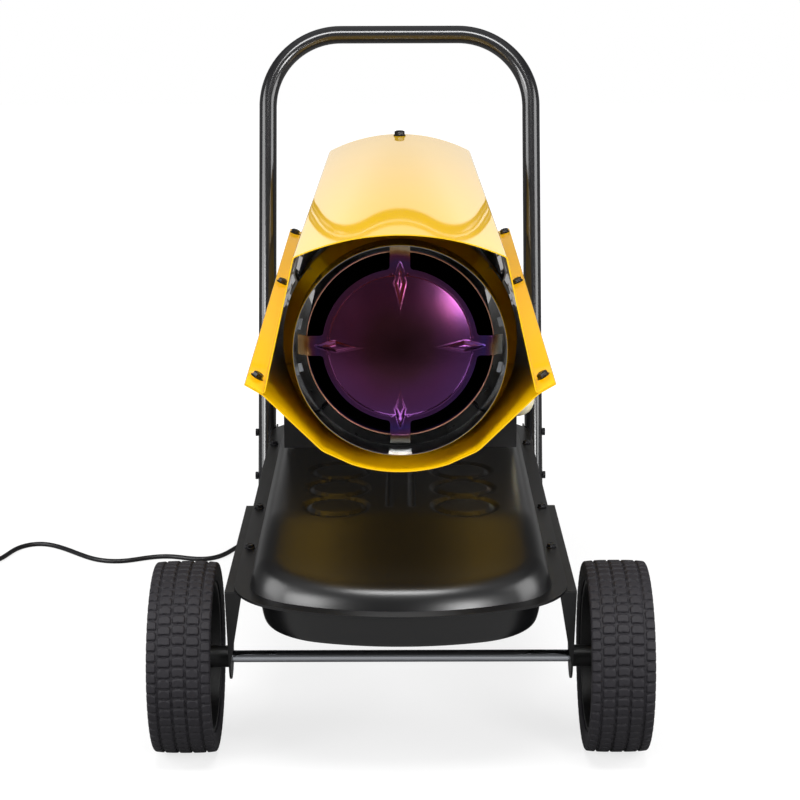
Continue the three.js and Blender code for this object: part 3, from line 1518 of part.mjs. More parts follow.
const coil = coilPoints();
console.log("least gap of the coiled lead to itself: " + leastGap(coil).toFixed(2) + " mm");
const onFloor = (p) => V3(p.x, p.y, Math.max(p.z, LEAD_R));
const leadEnd = coil[0].clone().add(V3(0, 2 * GAP, 0));
const lead = [...smooth(LEAD_POINTS, LEAD_STEPS).map(onFloor), leadEnd];
add("mains_lead", tube(lead, LEAD_R, 8), RUBBER);
add("mains_lead_coil", tube(coil, LEAD_R, 6), RUBBER);

// The tie goes round the bundle a quarter turn past the coil's start.
function coilTie() {
  const [x, y] = COIL_AT;
  const outer = COIL_R - COIL_PITCH / 4 + LEAD_R + 0.9;
  const inner = COIL_R - (COIL_PITCH * 5) / 4 - LEAD_R - 0.9;
  const low = COIL_Z - LEAD_R - 0.4;
  const high = COIL_Z + COIL_PITCH + LEAD_R + 0.4;
  const rectangle = (grow) => [
    V2(y - outer - grow, low - grow),
    V2(y - inner + grow, low - grow),
    V2(y - inner + grow, high + grow),
    V2(y - outer - grow, high + grow),
  ];
  const band = new THREE.Shape(rectangle(TIE_T));
  band.holes.push(new THREE.Path(rectangle(0)));
  return plateX(band, x - TIE_W / 2, x + TIE_W / 2);
}
add("lead_tie", coilTie(), PLASTIC);

// A plain earthed two-pin plug, lying beside the coil.
function plug() {
  const x = COIL_AT[0] - COIL_R;
  const z = COIL_Z + COIL_PITCH;
  const y0 = COIL_AT[1] + 2 * LEAD_R + 2 + GAP;
  const y1 = y0 + PLUG_RELIEF_L;
  const y2 = y1 + PLUG_L;
  const relief = turnedY(
    [
      [0, y0],
      [LEAD_R + 1, y0],
      [LEAD_R + 4, y1 + 1],
      [0, y1 + 1],
    ],
    x, z, 12);
  const ringAt = (y, w, h) => {
    const c = 5;
    return [
      [-w, -h + c], [-w + c, -h], [w - c, -h], [w, -h + c],
      [w, h - c], [w - c, h], [-w + c, h], [-w, h - c],
    ].map(([a, b]) => V3(x + a, y, z + b));
  };
  const [w, h] = PLUG_HALF;
  const faces = Array.from({ length: 6 }, (_, i) => [0, i + 1, i + 2]);
  const body = loft(
    [ringAt(y1, 9, 8.5), ringAt(y1 + 12, w - 1, h - 0.5), ringAt(y2 - 4, w, h), ringAt(y2, w - 1, h - 1)],
    faces,
  );
  const pins = SIDES.map(([, side]) =>
    turnedY(disc(PIN_R, y2 - 1, y2 + PIN_L), x + side * PIN_X, z, 8));
  return join(body, relief, ...pins);
}
add("mains_plug", plug(), RUBBER);

// ---------------------------------------------------------------- place the whole object
const backY = HANDLE_TOP_Y + TUBE_R;
part.children.forEach((mesh) => mesh.geometry.translate(0, -(SHELL_TOP_FRONT_Y + backY) / 2, 0));

export default part;
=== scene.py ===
# %% [markdown]
# # A wheeled forced air heater
# The CAD model already fixes every size, joint and seat of this heater. This script gives it the
# surfaces that the eye sees: gloss yellow sheet, pressed black tank, treaded tyres, heat-tinted
# steel and a mains lead. Each new surface is worked out in the CAD model's own frame, in metres,
# and stands for the node that it covers. Nothing is moved or resized but a part of the lead, whose
# bends are eased.

# %% Load the frame
import json
import math

import bmesh
import bpy
import numpy as np
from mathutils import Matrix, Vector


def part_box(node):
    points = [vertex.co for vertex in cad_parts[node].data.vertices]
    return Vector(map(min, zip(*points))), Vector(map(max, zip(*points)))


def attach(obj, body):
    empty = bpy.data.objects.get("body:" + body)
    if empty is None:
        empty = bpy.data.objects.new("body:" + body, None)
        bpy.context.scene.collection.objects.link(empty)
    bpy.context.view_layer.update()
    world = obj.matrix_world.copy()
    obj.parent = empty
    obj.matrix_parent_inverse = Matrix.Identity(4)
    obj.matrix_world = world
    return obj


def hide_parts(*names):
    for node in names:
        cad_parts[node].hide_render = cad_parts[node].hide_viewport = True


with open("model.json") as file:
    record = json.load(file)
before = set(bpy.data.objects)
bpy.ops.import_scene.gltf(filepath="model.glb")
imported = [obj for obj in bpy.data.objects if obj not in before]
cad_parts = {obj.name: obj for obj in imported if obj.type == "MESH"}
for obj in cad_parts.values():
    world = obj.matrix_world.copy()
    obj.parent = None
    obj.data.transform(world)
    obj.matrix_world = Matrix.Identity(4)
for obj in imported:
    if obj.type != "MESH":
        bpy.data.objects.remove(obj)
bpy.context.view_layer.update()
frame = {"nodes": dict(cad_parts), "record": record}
axle_low, axle_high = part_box("axle")
AXLE_Y = (axle_low.y + axle_high.y) / 2
AXLE_Z = (axle_low.z + axle_high.z) / 2

# %% [markdown]
# ## Camera and light
# The photograph looks down at the outlet from about three metres, with a long lens, so that the
# tank and the wheels hardly converge. A camera 3.06 m in front of the origin and 1.1 m up, tilted
# 13 degrees down, gives the same view. The background is white because the world and the floor
# are white to the camera, and not because the lamps are strong.

# %% Camera
CAMERA_DISTANCE = 3.058
CAMERA_HEIGHT = 1.098
CAMERA_PITCH = math.radians(13.2)
CAMERA_ROLL = math.radians(0.15)
LENS_MM = 94.5

scene = bpy.context.scene
camera_data = bpy.data.cameras.new("camera")
camera_data.lens = LENS_MM
camera_data.sensor_width = 36
camera_data.shift_x = 1 / 800
camera_data.clip_start, camera_data.clip_end = 0.05, 60
camera = bpy.data.objects.new("camera", camera_data)
camera.location = (0, -CAMERA_DISTANCE, CAMERA_HEIGHT)
camera.rotation_euler = (math.pi / 2 - CAMERA_PITCH, CAMERA_ROLL, 0)
scene.collection.objects.link(camera)
scene.camera = camera
scene.view_settings.view_transform = "Standard"

# %% [markdown]
# Diffuse light comes evenly from all sides, as in a white tent. Gloss paint and bare metal need
# more than that: they show what stands round the object. Here that is a white backdrop behind it,
# which is only as wide as a paper sweep, a bright panel overhead, and a dark room. Light Path
# tells the kinds of ray apart, and a direction's X, Y and Z say where it looks: X over Y is the
# slope to the side, and Z is the sine of the height above the horizon.

# %% World
def ramp(tree, stops, factor):
    """A colour ramp over a 0 to 1 factor. stops is a list of (place, grey or colour)."""
    node = tree.nodes.new("ShaderNodeValToRGB")
    elements = node.color_ramp.elements
    while len(elements) < len(stops):
        elements.new(0.5)
    for element, (place, value) in zip(elements, stops):
        element.position = place
        element.color = (value, value, value, 1) if isinstance(value, float) else (*value, 1)
    tree.links.new(factor, node.inputs["Fac"])
    return node.outputs["Color"]


def maths(tree, operation, a, b, clamp=False):
    """A Math node on two numbers or sockets."""
    node = tree.nodes.new("ShaderNodeMath")
    node.operation = operation
    node.use_clamp = clamp
    for socket, value in zip(node.inputs, (a, b)):
        if isinstance(value, (int, float)):
            socket.default_value = value
        else:
            tree.links.new(value, socket)
    return node.outputs["Value"]


def mixed(tree, factor, a, b, kind="MIX"):
    """A colour mix of a and b, which are colours or sockets."""
    node = tree.nodes.new("ShaderNodeMix")
    node.data_type = "RGBA"
    node.blend_type = kind
    for name, value in (("Factor", factor), ("A", a), ("B", b)):
        socket = [s for s in node.inputs if s.name == name and s.enabled][0]
        if isinstance(value, (int, float)):
            socket.default_value = value
        elif isinstance(value, (tuple, list)):
            socket.default_value = (*value, 1)
        else:
            tree.links.new(value, socket)
    return [s for s in node.outputs if s.name == "Result" and s.enabled][0]


def separate(tree, vector):
    """The X, Y and Z of a vector, as sockets."""
    node = tree.nodes.new("ShaderNodeSeparateXYZ")
    tree.links.new(vector, node.inputs["Vector"])
    return node.outputs


def length_of(tree, vector):
    """The length of a vector."""
    node = tree.nodes.new("ShaderNodeVectorMath")
    node.operation = "LENGTH"
    tree.links.new(vector, node.inputs[0])
    return node.outputs["Value"]


def eased_range(tree, value, low, high, start, end):
    """start below low, end above high, and a smooth step between them."""
    node = tree.nodes.new("ShaderNodeMapRange")
    node.interpolation_type = "SMOOTHSTEP"
    for name, number in zip(("From Min", "From Max", "To Min", "To Max"), (low, high, start, end)):
        node.inputs[name].default_value = number
    tree.links.new(value, node.inputs["Value"])
    return node.outputs["Result"]


# %% The studio that gloss and metal reflect
BACKDROP = [(0.0, 0.10), (0.48, 0.85), (0.552, 0.78), (0.572, 0.46), (0.62, 0.48), (0.66, 0.30),
            (0.72, 0.06), (1.0, 0.05)]
ROOM = [(0.0, 0.10), (0.50, 0.20), (0.66, 0.12), (0.84, 0.05), (0.90, 0.30), (1.0, 0.35)]
BACKDROP_SLOPE, PAPER_TAPER_Z, PAPER_TAPER = (0.20, 0.30), 0.03, 1.2
TENT = 0.55

world = bpy.data.worlds.new("studio")
scene.world = world
world.use_nodes = True
sky = world.node_tree
axes = separate(sky, sky.nodes.new("ShaderNodeTexCoord").outputs["Generated"])
height = maths(sky, "ADD", maths(sky, "MULTIPLY", axes["Z"], 0.5), 0.5)
slope = maths(sky, "DIVIDE", maths(sky, "ABSOLUTE", axes["X"], 0.0), axes["Y"])
taper = maths(sky, "MAXIMUM", maths(sky, "SUBTRACT", axes["Z"], PAPER_TAPER_Z), 0.0)
slope = maths(sky, "ADD", slope, maths(sky, "MULTIPLY", taper, PAPER_TAPER))
behind = maths(sky, "GREATER_THAN", axes["Y"], 0.0)
on_paper = maths(sky, "MULTIPLY", eased_range(sky, slope, *BACKDROP_SLOPE, 1, 0), behind)
mirrored_studio = mixed(sky, on_paper, ramp(sky, ROOM, height), ramp(sky, BACKDROP, height))
rays = sky.nodes.new("ShaderNodeLightPath").outputs
shiny = maths(sky, "MAXIMUM", rays["Is Glossy Ray"], rays["Is Transmission Ray"])
tent = maths(sky, "MULTIPLY", maths(sky, "GREATER_THAN", axes["Z"], 0.0), TENT)
light = mixed(sky, shiny, tent, mirrored_studio)
light = mixed(sky, rays["Is Camera Ray"], light, (1, 1, 1))
sky.links.new(light, sky.nodes["Background"].inputs["Color"])
print("the world has", len(sky.nodes), "nodes")


# %% Lamps
def softbox(name, place, aim, size, watts):
    """A lamp of a width and height at a place, turned towards the point aim."""
    lamp = bpy.data.lights.new(name, "AREA")
    lamp.energy, lamp.shape = watts, "RECTANGLE"
    lamp.size, lamp.size_y = size
    holder = bpy.data.objects.new(name, lamp)
    x, y, z = (a - p for a, p in zip(aim, place))
    holder.location = place
    holder.rotation_euler = (math.atan2(math.hypot(x, y), -z), 0, math.atan2(y, x) - math.pi / 2)
    scene.collection.objects.link(holder)


softbox("lamp_front_left", (-2.4, -2.7, 1.6), (0, -0.3, 0.5), (1.1, 1.1), 48)
softbox("lamp_front_right", (1.6, -3.1, 1.25), (0, -0.3, 0.5), (0.8, 0.8), 42)
softbox("lamp_overhead", (0, -1.5, 2.7), (0, 0, 0.5), (1.5, 0.7), 52)
softbox("lamp_side_left", (-2.3, -0.7, 1.35), (0, -0.2, 0.6), (1.6, 1.5), 36)
softbox("lamp_side_right", (2.3, -0.7, 1.35), (0, -0.2, 0.6), (1.6, 1.5), 36)
print("lamps:", [lamp.name for lamp in bpy.data.lights])

# %% [markdown]
# ## Building surfaces from grids
# Sheet metal, tubes, tyres and the tank are all grids of points: a function of two parameters
# gives the points as whole arrays, and one helper turns a grid into faces. A wall with a real
# thickness is two grids, the outer and the inner side, sewn together round their edges. Each
# finished mesh is turned right side out by the sign of its volume.

# %% Faces for grids
def at(x, y, z):
    """Points from sizes that are measured from the wheel axle along y and from the floor up."""
    return np.stack(np.broadcast_arrays(x, y + AXLE_Y, z), axis=-1).astype(float)


def grid_quads(rows, columns, wrap_rows=False, wrap_columns=False, first=0):
    """Quads between neighbouring points of a grid, whose indices start at first."""
    i, j = np.meshgrid(
        np.arange(rows if wrap_rows else rows - 1),
        np.arange(columns if wrap_columns else columns - 1),
        indexing="ij",
    )
    down, right = (i + 1) % rows, (j + 1) % columns
    corners = (i * columns + j, i * columns + right, down * columns + right, down * columns + j)
    return np.stack(corners, axis=-1).reshape(-1, 4) + first


def facing_out(points, quads):
    """The quads, turned round if the volume that they enclose comes out negative. Six times that
    volume is the sum of a.(b x c) over their triangles."""
    a, b, c, d = (points[quads[:, k]] for k in range(4))
    volume = np.einsum("ij,ij->", a, np.cross(b, c)) + np.einsum("ij,ij->", a, np.cross(c, d))
    return quads[:, ::-1] if volume < 0 else quads


WELD = 1e-6


def build(name, points, quads, sharp=32.0, weld=False):
    """A mesh object from points and quads, facing outwards. It is smooth but for creases over
    sharp degrees, and weld joins the points that lie on each other, as at a pole."""
    quads = facing_out(points, quads)
    mesh = bpy.data.meshes.new(name)
    mesh.from_pydata(points.tolist(), [], quads.tolist())
    if weld:
        work = bmesh.new()
        work.from_mesh(mesh)
        bmesh.ops.remove_doubles(work, verts=work.verts, dist=WELD)
        stray = [edge for edge in work.edges if not edge.link_faces]
        bmesh.ops.delete(work, geom=stray, context="EDGES")
        work.to_mesh(mesh)
        work.free()
    mesh.validate()
    mesh.shade_smooth()
    mesh.set_sharp_from_angle(angle=math.radians(sharp))
    piece = bpy.data.objects.new(name, mesh)
    scene.collection.objects.link(piece)
    return piece


def walled(name, outer, inner, wrap=False, sharp=32.0, shut=None):
    """A closed wall: an outer and an inner grid of the same shape, sewn along their free edges.
    shut is the row, 0 or -1, that closes on itself in a point or a line, and so has no free edge."""
    rows, columns = outer.shape[:2]
    count = rows * columns
    quads = [
        grid_quads(rows, columns, wrap_columns=wrap),
        grid_quads(rows, columns, wrap_columns=wrap, first=count)[:, ::-1],
    ]
    step = np.arange(columns if wrap else columns - 1)
    beside = (step + 1) % columns
    last = (rows - 1) * columns
    if shut != 0:
        quads.append(np.stack([beside, step, step + count, beside + count], axis=-1))
    if shut != -1:
        quads.append(np.stack([step, beside, beside + count, step + count], axis=-1) + last)
    if not wrap:
        step = np.arange(rows - 1) * columns
        beside = step + columns
        quads.append(np.stack([step, beside, beside + count, step + count], axis=-1))
        edge = np.stack([beside, step, step + count, beside + count], axis=-1)
        quads.append(edge + columns - 1)
    points = np.concatenate([outer.reshape(-1, 3), inner.reshape(-1, 3)])
    return build(name, points, np.concatenate(quads), sharp, weld=shut is not None)


def turned(profile, axis, centre, segments=96):
    """A grid of a profile of (radius, place along the axis) turned round an axis through centre."""
    profile = np.asarray(profile, float)
    angle = np.arange(segments) * (2 * np.pi / segments)
    radius, along = profile[:, :1], profile[:, 1:] + 0 * angle
    u, v = radius * np.cos(angle), radius * np.sin(angle)
    points = {"x": (along, u, v), "y": (v, along, u), "z": (u, v, along)}[axis]
    return np.stack(points, axis=-1) + np.asarray(centre, float)


def lathe(name, profile, axis, centre, segments=96, sharp=32.0):
    """A solid of revolution from a closed profile, or from one that starts and ends on the axis."""
    grid = turned(profile, axis, centre, segments)
    quads = grid_quads(len(profile), segments, wrap_columns=True)
    return build(name, grid.reshape(-1, 3), quads, sharp, weld=True)


def carried(path, radius, sides):
    """A grid of circles carried along a path. Each circle keeps the last one's direction as nearly
    as it can: the old direction less its part along the new tangent, made one long again."""
    tangent = np.gradient(path, axis=0)
    tangent /= np.linalg.norm(tangent, axis=1, keepdims=True)
    side = np.empty_like(path)
    last = np.cross(tangent[0], [0.3, 0.2, 0.93])
    for i, t in enumerate(tangent):
        last = last - t * (last @ t)
        last /= np.linalg.norm(last)
        side[i] = last
    other = np.cross(tangent, side)
    angle = np.arange(sides) * (2 * np.pi / sides)
    radius = np.broadcast_to(radius, len(path))[:, None, None]
    cosine, sine = np.cos(angle)[None, :, None], np.sin(angle)[None, :, None]
    return path[:, None] + radius * (cosine * side[:, None] + sine * other[:, None])


def rod(name, path, radius, sides=24, sharp=40.0):
    """A tube along a path with its two ends closed to a point in their middle."""
    grid = carried(path, radius, sides)
    ends = [np.broadcast_to(path[k], (1, sides, 3)) for k in (0, -1)]
    grid = np.concatenate([ends[0], grid, ends[1]])
    quads = grid_quads(len(grid), sides, wrap_columns=True)
    return build(name, grid.reshape(-1, 3), quads, sharp, weld=True)


def turned_about(points, axis, turn):
    """Points turned by an angle about axis 0, 1 or 2, the way that the fingers of a right hand
    curl round it."""
    u, v = (axis + 1) % 3, (axis + 2) % 3
    new = points.copy()
    new[:, u] = points[:, u] * np.cos(turn) - points[:, v] * np.sin(turn)
    new[:, v] = points[:, v] * np.cos(turn) + points[:, u] * np.sin(turn)
    return new


def smoothstep(value, low=0.0, high=1.0):
    """0 below low, 1 above high, and 3t^2 - 2t^3 between them."""
    t = np.clip((value - low) / (high - low), 0, 1)
    return t * t * (3 - 2 * t)


# %% [markdown]
# ## Finishes
# No real surface has one flat colour. Powder coat has a fine orange peel, rubber is dusty and
# scratched, and drawn steel has lines along it. One node group makes that variation for all of
# them: it takes a colour and a roughness, and puts out both with slow noise mixed in, and a fine
# noise as a height for a Bump node. Each material places the group with its own values.

# %% The shared variation group
def add_socket(group, name, way, kind, value=None):
    """A named input or output of the group, with its starting value."""
    socket = group.interface.new_socket(name=name, in_out=way, socket_type="NodeSocket" + kind)
    if value is not None:
        socket.default_value = value


def noise(tree, vector, scale, detail=3.0, distortion=0.0):
    """The 0 to 1 value of a noise texture."""
    node = tree.nodes.new("ShaderNodeTexNoise")
    node.inputs["Detail"].default_value = detail
    node.inputs["Distortion"].default_value = distortion
    tree.links.new(vector, node.inputs["Vector"])
    if isinstance(scale, (int, float)):
        node.inputs["Scale"].default_value = scale
    else:
        tree.links.new(scale, node.inputs["Scale"])
    return node.outputs["Fac"]


def variation_group():
    """Colour times 1 plus Shade times slow noise, Roughness plus Spread times noise, and a fine
    noise as Height, stretched by the vector that comes in."""
    group = bpy.data.node_groups.new("surface_variation", "ShaderNodeTree")
    for name, kind, value in (
        ("Vector", "Vector", None), ("Colour", "Color", (0.5, 0.5, 0.5, 1)),
        ("Shade", "Float", 0.1),
        ("Scale", "Float", 8.0), ("Roughness", "Float", 0.4), ("Spread", "Float", 0.1),
        ("Grain", "Float", 600.0),
    ):
        add_socket(group, name, "INPUT", kind, value)
    for name, kind in (("Colour", "Color"), ("Roughness", "Float"), ("Height", "Float")):
        add_socket(group, name, "OUTPUT", kind)
    into = group.nodes.new("NodeGroupInput").outputs
    out = group.nodes.new("NodeGroupOutput").inputs
    slow = noise(group, into["Vector"], into["Scale"], 4)
    swing = maths(group, "MULTIPLY", maths(group, "SUBTRACT", slow, 0.5), 2.0)
    level = maths(group, "ADD", maths(group, "MULTIPLY", swing, into["Shade"]), 1.0)
    scaled = group.nodes.new("ShaderNodeVectorMath")
    scaled.operation = "SCALE"
    group.links.new(into["Colour"], scaled.inputs[0])
    group.links.new(level, scaled.inputs["Scale"])
    group.links.new(scaled.outputs["Vector"], out["Colour"])
    patches = noise(group, into["Vector"], maths(group, "MULTIPLY", into["Scale"], 2.7), 5, 0.6)
    rough = maths(group, "MULTIPLY", maths(group, "SUBTRACT", patches, 0.5), into["Spread"])
    group.links.new(maths(group, "ADD", rough, into["Roughness"]), out["Roughness"])
    group.links.new(noise(group, into["Vector"], into["Grain"], 2), out["Height"])
    return group


VARIATION = variation_group()
print("the variation group has", len(VARIATION.nodes), "nodes")


# %% [markdown]
# A material is then the group, a Bump node and a Principled shader. The colours are written as
# ordinary screen values and turned into the linear values that Blender works with by
# c/12.92 near black and ((c + 0.055)/1.055)^2.4 above it.

# %% Making a material
def linear(hex_colour):
    """Linear red, green and blue of a screen colour such as "f2b705"."""
    c = np.array([int(hex_colour[k:k + 2], 16) for k in (0, 2, 4)]) / 255
    return tuple(float(v) for v in np.where(c <= 0.04045, c / 12.92, ((c + 0.055) / 1.055) ** 2.4))


def finish(name, colour, rough, metallic=0.0, shade=0.08, scale=8.0, spread=0.08, grain=700.0,
           bump=0.15, depth=0.0004, coat=0.0, coat_rough=0.08, stretch=(1, 1, 1), level=0.5):
    """A material of one colour with the shared variation. Returns it with its tree and sockets."""
    material = bpy.data.materials.new(name)
    material.use_nodes = True
    tree = material.node_tree
    shader = tree.nodes["Principled BSDF"]
    where = tree.nodes.new("ShaderNodeTexCoord").outputs["Object"]
    mapping = tree.nodes.new("ShaderNodeMapping")
    mapping.inputs["Scale"].default_value = stretch
    tree.links.new(where, mapping.inputs["Vector"])
    vary = tree.nodes.new("ShaderNodeGroup")
    vary.node_tree = VARIATION
    tree.links.new(mapping.outputs["Vector"], vary.inputs["Vector"])
    for socket, value in (("Colour", (*linear(colour), 1)), ("Shade", shade), ("Scale", scale),
                          ("Roughness", rough), ("Spread", spread), ("Grain", grain)):
        vary.inputs[socket].default_value = value
    tree.links.new(vary.outputs["Colour"], shader.inputs["Base Color"])
    tree.links.new(vary.outputs["Roughness"], shader.inputs["Roughness"])
    shader.inputs["Metallic"].default_value = metallic
    shader.inputs["Coat Weight"].default_value = coat
    shader.inputs["Coat Roughness"].default_value = coat_rough
    shader.inputs["Specular IOR Level"].default_value = level
    relief = tree.nodes.new("ShaderNodeBump")
    relief.inputs["Strength"].default_value = bump
    relief.inputs["Distance"].default_value = depth
    tree.links.new(vary.outputs["Height"], relief.inputs["Height"])
    tree.links.new(relief.outputs["Normal"], shader.inputs["Normal"])
    material["vary"] = vary.name
    return material


FINISHES = {
    "shell_yellow": finish("yellow_powder_coat", "fac500", 0.5, shade=0.03, scale=5, spread=0.06,
                           grain=900, bump=0.02, coat=1.0, coat_rough=0.03, level=0.1),
    "tank_black": finish("satin_tank_black", "0a0a0b", 0.29, shade=0.12, scale=6, spread=0.03,
                         grain=1100, bump=0.02, level=0.6),
    "bracket_black": finish("satin_bracket_black", "101011", 0.36, shade=0.15, scale=9, spread=0.1,
                            grain=1000, bump=0.15),
    "handle_black": finish("gloss_handle_black", "19191b", 0.2, shade=0.1, scale=7, spread=0.04,
                           grain=900, bump=0.01, coat=0.5),
    "tyre_rubber": finish("dusty_tyre_rubber", "1a181d", 0.66, shade=0.2, scale=22, spread=0.15,
                          grain=420, bump=0.5, depth=0.0006, level=0.35),
    "rim_plastic": finish("moulded_rim_plastic", "09090a", 0.45, shade=0.12, scale=12, spread=0.1,
                          grain=1500, bump=0.25),
    "bright_steel": finish("drawn_steel", "c9ccd2", 0.14, 1.0, shade=0.08, scale=14, spread=0.08,
                           grain=300, bump=0.05, stretch=(0.06, 1, 1)),
    "plated_steel": finish("zinc_plated_steel", "b4b6b8", 0.3, 1.0, shade=0.15, scale=16,
                           spread=0.14, grain=500, bump=0.1),
    "machine_black": finish("black_nylon", "131315", 0.5, shade=0.1, scale=14, spread=0.12,
                            grain=1600, bump=0.3),
    "cast_aluminium": finish("cast_aluminium", "9a9c9f", 0.48, 0.9, shade=0.1, scale=20,
                             spread=0.16, grain=350, bump=0.5, depth=0.0008),
    "brass_fitting": finish("turned_brass", "b98f45", 0.28, 1.0, shade=0.1, scale=30, spread=0.1),
    "ceramic": finish("glazed_ceramic", "e9e4da", 0.16, shade=0.03, scale=30, spread=0.05, coat=0.6),
    "red_plastic": finish("red_button_plastic", "b3201c", 0.3, shade=0.05, scale=30, coat=0.3),
    "cord_rubber": finish("lead_sheath", "0f0f12", 0.42, shade=0.1, scale=24, spread=0.1,
                          grain=1200, bump=0.15),
    "foot_rubber": finish("foot_rubber", "1e1e20", 0.7, shade=0.15, scale=25, spread=0.12,
                          grain=700, bump=0.4),
}
print(len(FINISHES), "finishes")


# %% [markdown]
# The filter bowl is a milky nylon that glows a little where light comes through it, so it is the
# one finish with subsurface light. The fastener finish is a darker, oiled kind of zinc, and what
# stands in the flame is dull with soot.

# %% Bowl and fastener finishes
bowl = finish("milky_nylon", "e6dcbb", 0.32, shade=0.05, scale=20, spread=0.08, grain=900, bump=0.1)
bowl_shader = bowl.node_tree.nodes["Principled BSDF"]
bowl_shader.inputs["Subsurface Weight"].default_value = 0.5
bowl_shader.inputs["Subsurface Radius"].default_value = (0.012, 0.009, 0.005)
FINISHES["cream_bowl"] = bowl
BOLT_BLACK = finish("oiled_bolt_steel", "17171a", 0.28, 0.4, shade=0.25, scale=60, spread=0.2)
SOOTY_STEEL = finish("sooty_steel", "131112", 0.62, 0.5, shade=0.3, scale=30, spread=0.2, level=0.2)


# %% [markdown]
# Stainless steel that gets hot turns straw, then brown, purple and blue, because the oxide film
# grows with the temperature. On the deflector the tints lie in rings, so they are a ramp over the
# distance from the axis of the burner, with noise to bend its edges, and the ends of its arms stay
# cool and bright. The ramp's dark middle is partly heat tint and partly painted reflection, and a
# browner tint towards the upper left is painted reflection. Further into the chamber its colour
# turns near black, which is painted shade, and only its front edge shows a thin pink line.

# %% Heat-tinted steel, with painted reflection and painted shade
HOT_AXIS_Z = 0.572
TINT_REACH = 0.131
PATCH_SLOPE, PATCH_GAIN, PATCH_SHARE = 7.0, 0.8, 0.8


def tinted(name, rough, metallic, colour_at):
    """Bare steel whose colour is the socket that colour_at(tree, place) puts out."""
    material = finish(name, "806070", rough, metallic, shade=0.2, scale=11, spread=0.12,
                      grain=260, bump=0.06)
    tree = material.node_tree
    where = [n for n in tree.nodes if n.type == "TEX_COORD"][0].outputs["Object"]
    tree.links.new(colour_at(tree, where), tree.nodes[material["vary"]].inputs["Colour"])
    return material


def wander(tree, where, scale, width):
    """Noise round 0, to bend the edges of a tint."""
    centred = maths(tree, "SUBTRACT", noise(tree, where, scale, 3), 0.5)
    return maths(tree, "MULTIPLY", centred, width)


def deflector_colour(tree, where):
    """A ramp of heat tint over the distance from the burner's axis, 1 at TINT_REACH, whose dark
    middle is partly painted reflection, times a browner tint, also painted reflection, that grows
    from the lower right to the upper left."""
    flat = tree.nodes.new("ShaderNodeMapping")
    flat.vector_type = "POINT"
    flat.inputs["Location"].default_value = (0, 0, -HOT_AXIS_Z / TINT_REACH)
    flat.inputs["Scale"].default_value = (1 / TINT_REACH, 0, 1 / TINT_REACH)
    tree.links.new(where, flat.inputs["Vector"])
    distance = maths(tree, "ADD", length_of(tree, flat.outputs["Vector"]),
                     wander(tree, where, 26, 0.16))
    # the dark middle of this ramp is partly heat tint and partly painted reflection
    rings = ramp(tree, [
        (0.0, linear("3c222a")), (0.28, linear("4c2a3c")), (0.5, linear("5c2f58")),
        (0.7, linear("5e3568")), (0.79, linear("50397c")), (0.845, linear("6a3a66")),
        (0.885, linear("a5805c")), (0.92, linear("dcd6c4")), (1.0, linear("eceae4")),
    ], distance)
    # painted reflection: the colour turns browner towards the upper left
    place = separate(tree, where)
    up_left = maths(tree, "SUBTRACT", maths(tree, "SUBTRACT", place["Z"], HOT_AXIS_Z), place["X"])
    patch = maths(tree, "ADD", maths(tree, "MULTIPLY", up_left, PATCH_SLOPE),
                  noise(tree, where, 9, 2, 0.8))
    painted_reflection = mixed(tree, maths(tree, "MULTIPLY", patch, PATCH_GAIN, clamp=True),
                  (0.92, 0.95, 1.0), (1.15, 0.85, 0.5))
    return mixed(tree, PATCH_SHARE, rings, painted_reflection, "MULTIPLY")


DEFLECTOR_TINT_AND_REFLECTION = tinted("deflector_tint_and_painted_reflection", 0.24, 1.0, deflector_colour)


# %% Chamber steel
CHAMBER_FRONT_Y = -0.100
EDGE_REACH = 0.022


def chamber_colour(tree, where):
    """A ramp over the distance behind the chamber's front edge, 1 at EDGE_REACH: heat tint at
    the edge, and a near-black end further in that is painted shade.
    """
    behind = maths(tree, "SUBTRACT", separate(tree, where)["Y"], CHAMBER_FRONT_Y + AXLE_Y)
    behind = maths(tree, "DIVIDE", behind, EDGE_REACH)
    # the near-black end of this ramp is painted shade inside the chamber
    return ramp(tree, [
        (0.0, linear("ffbc98")), (0.12, linear("e28aa4")), (0.3, linear("5a4aa0")),
        (0.6, linear("221a30")), (1.0, linear("0e0c10")),
    ], maths(tree, "ADD", behind, wander(tree, where, 40, 0.3)))


FINISHES["tinted_steel"] = tinted("chamber_tint_and_painted_shade", 0.34, 0.9, chamber_colour)


# %% Dressing a piece
def dress(piece, slot, *nodes, body="chassis", material=None):
    """Gives a piece the finish of its slot, lets it ride on its body, and hides the CAD nodes
    that it stands for."""
    piece.data.materials.clear()
    piece.data.materials.append(material or FINISHES[slot])
    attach(piece, body)
    if nodes:
        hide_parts(*nodes)
    print(piece.name, "has", len(piece.data.polygons), "faces and rides on", body)
    return piece
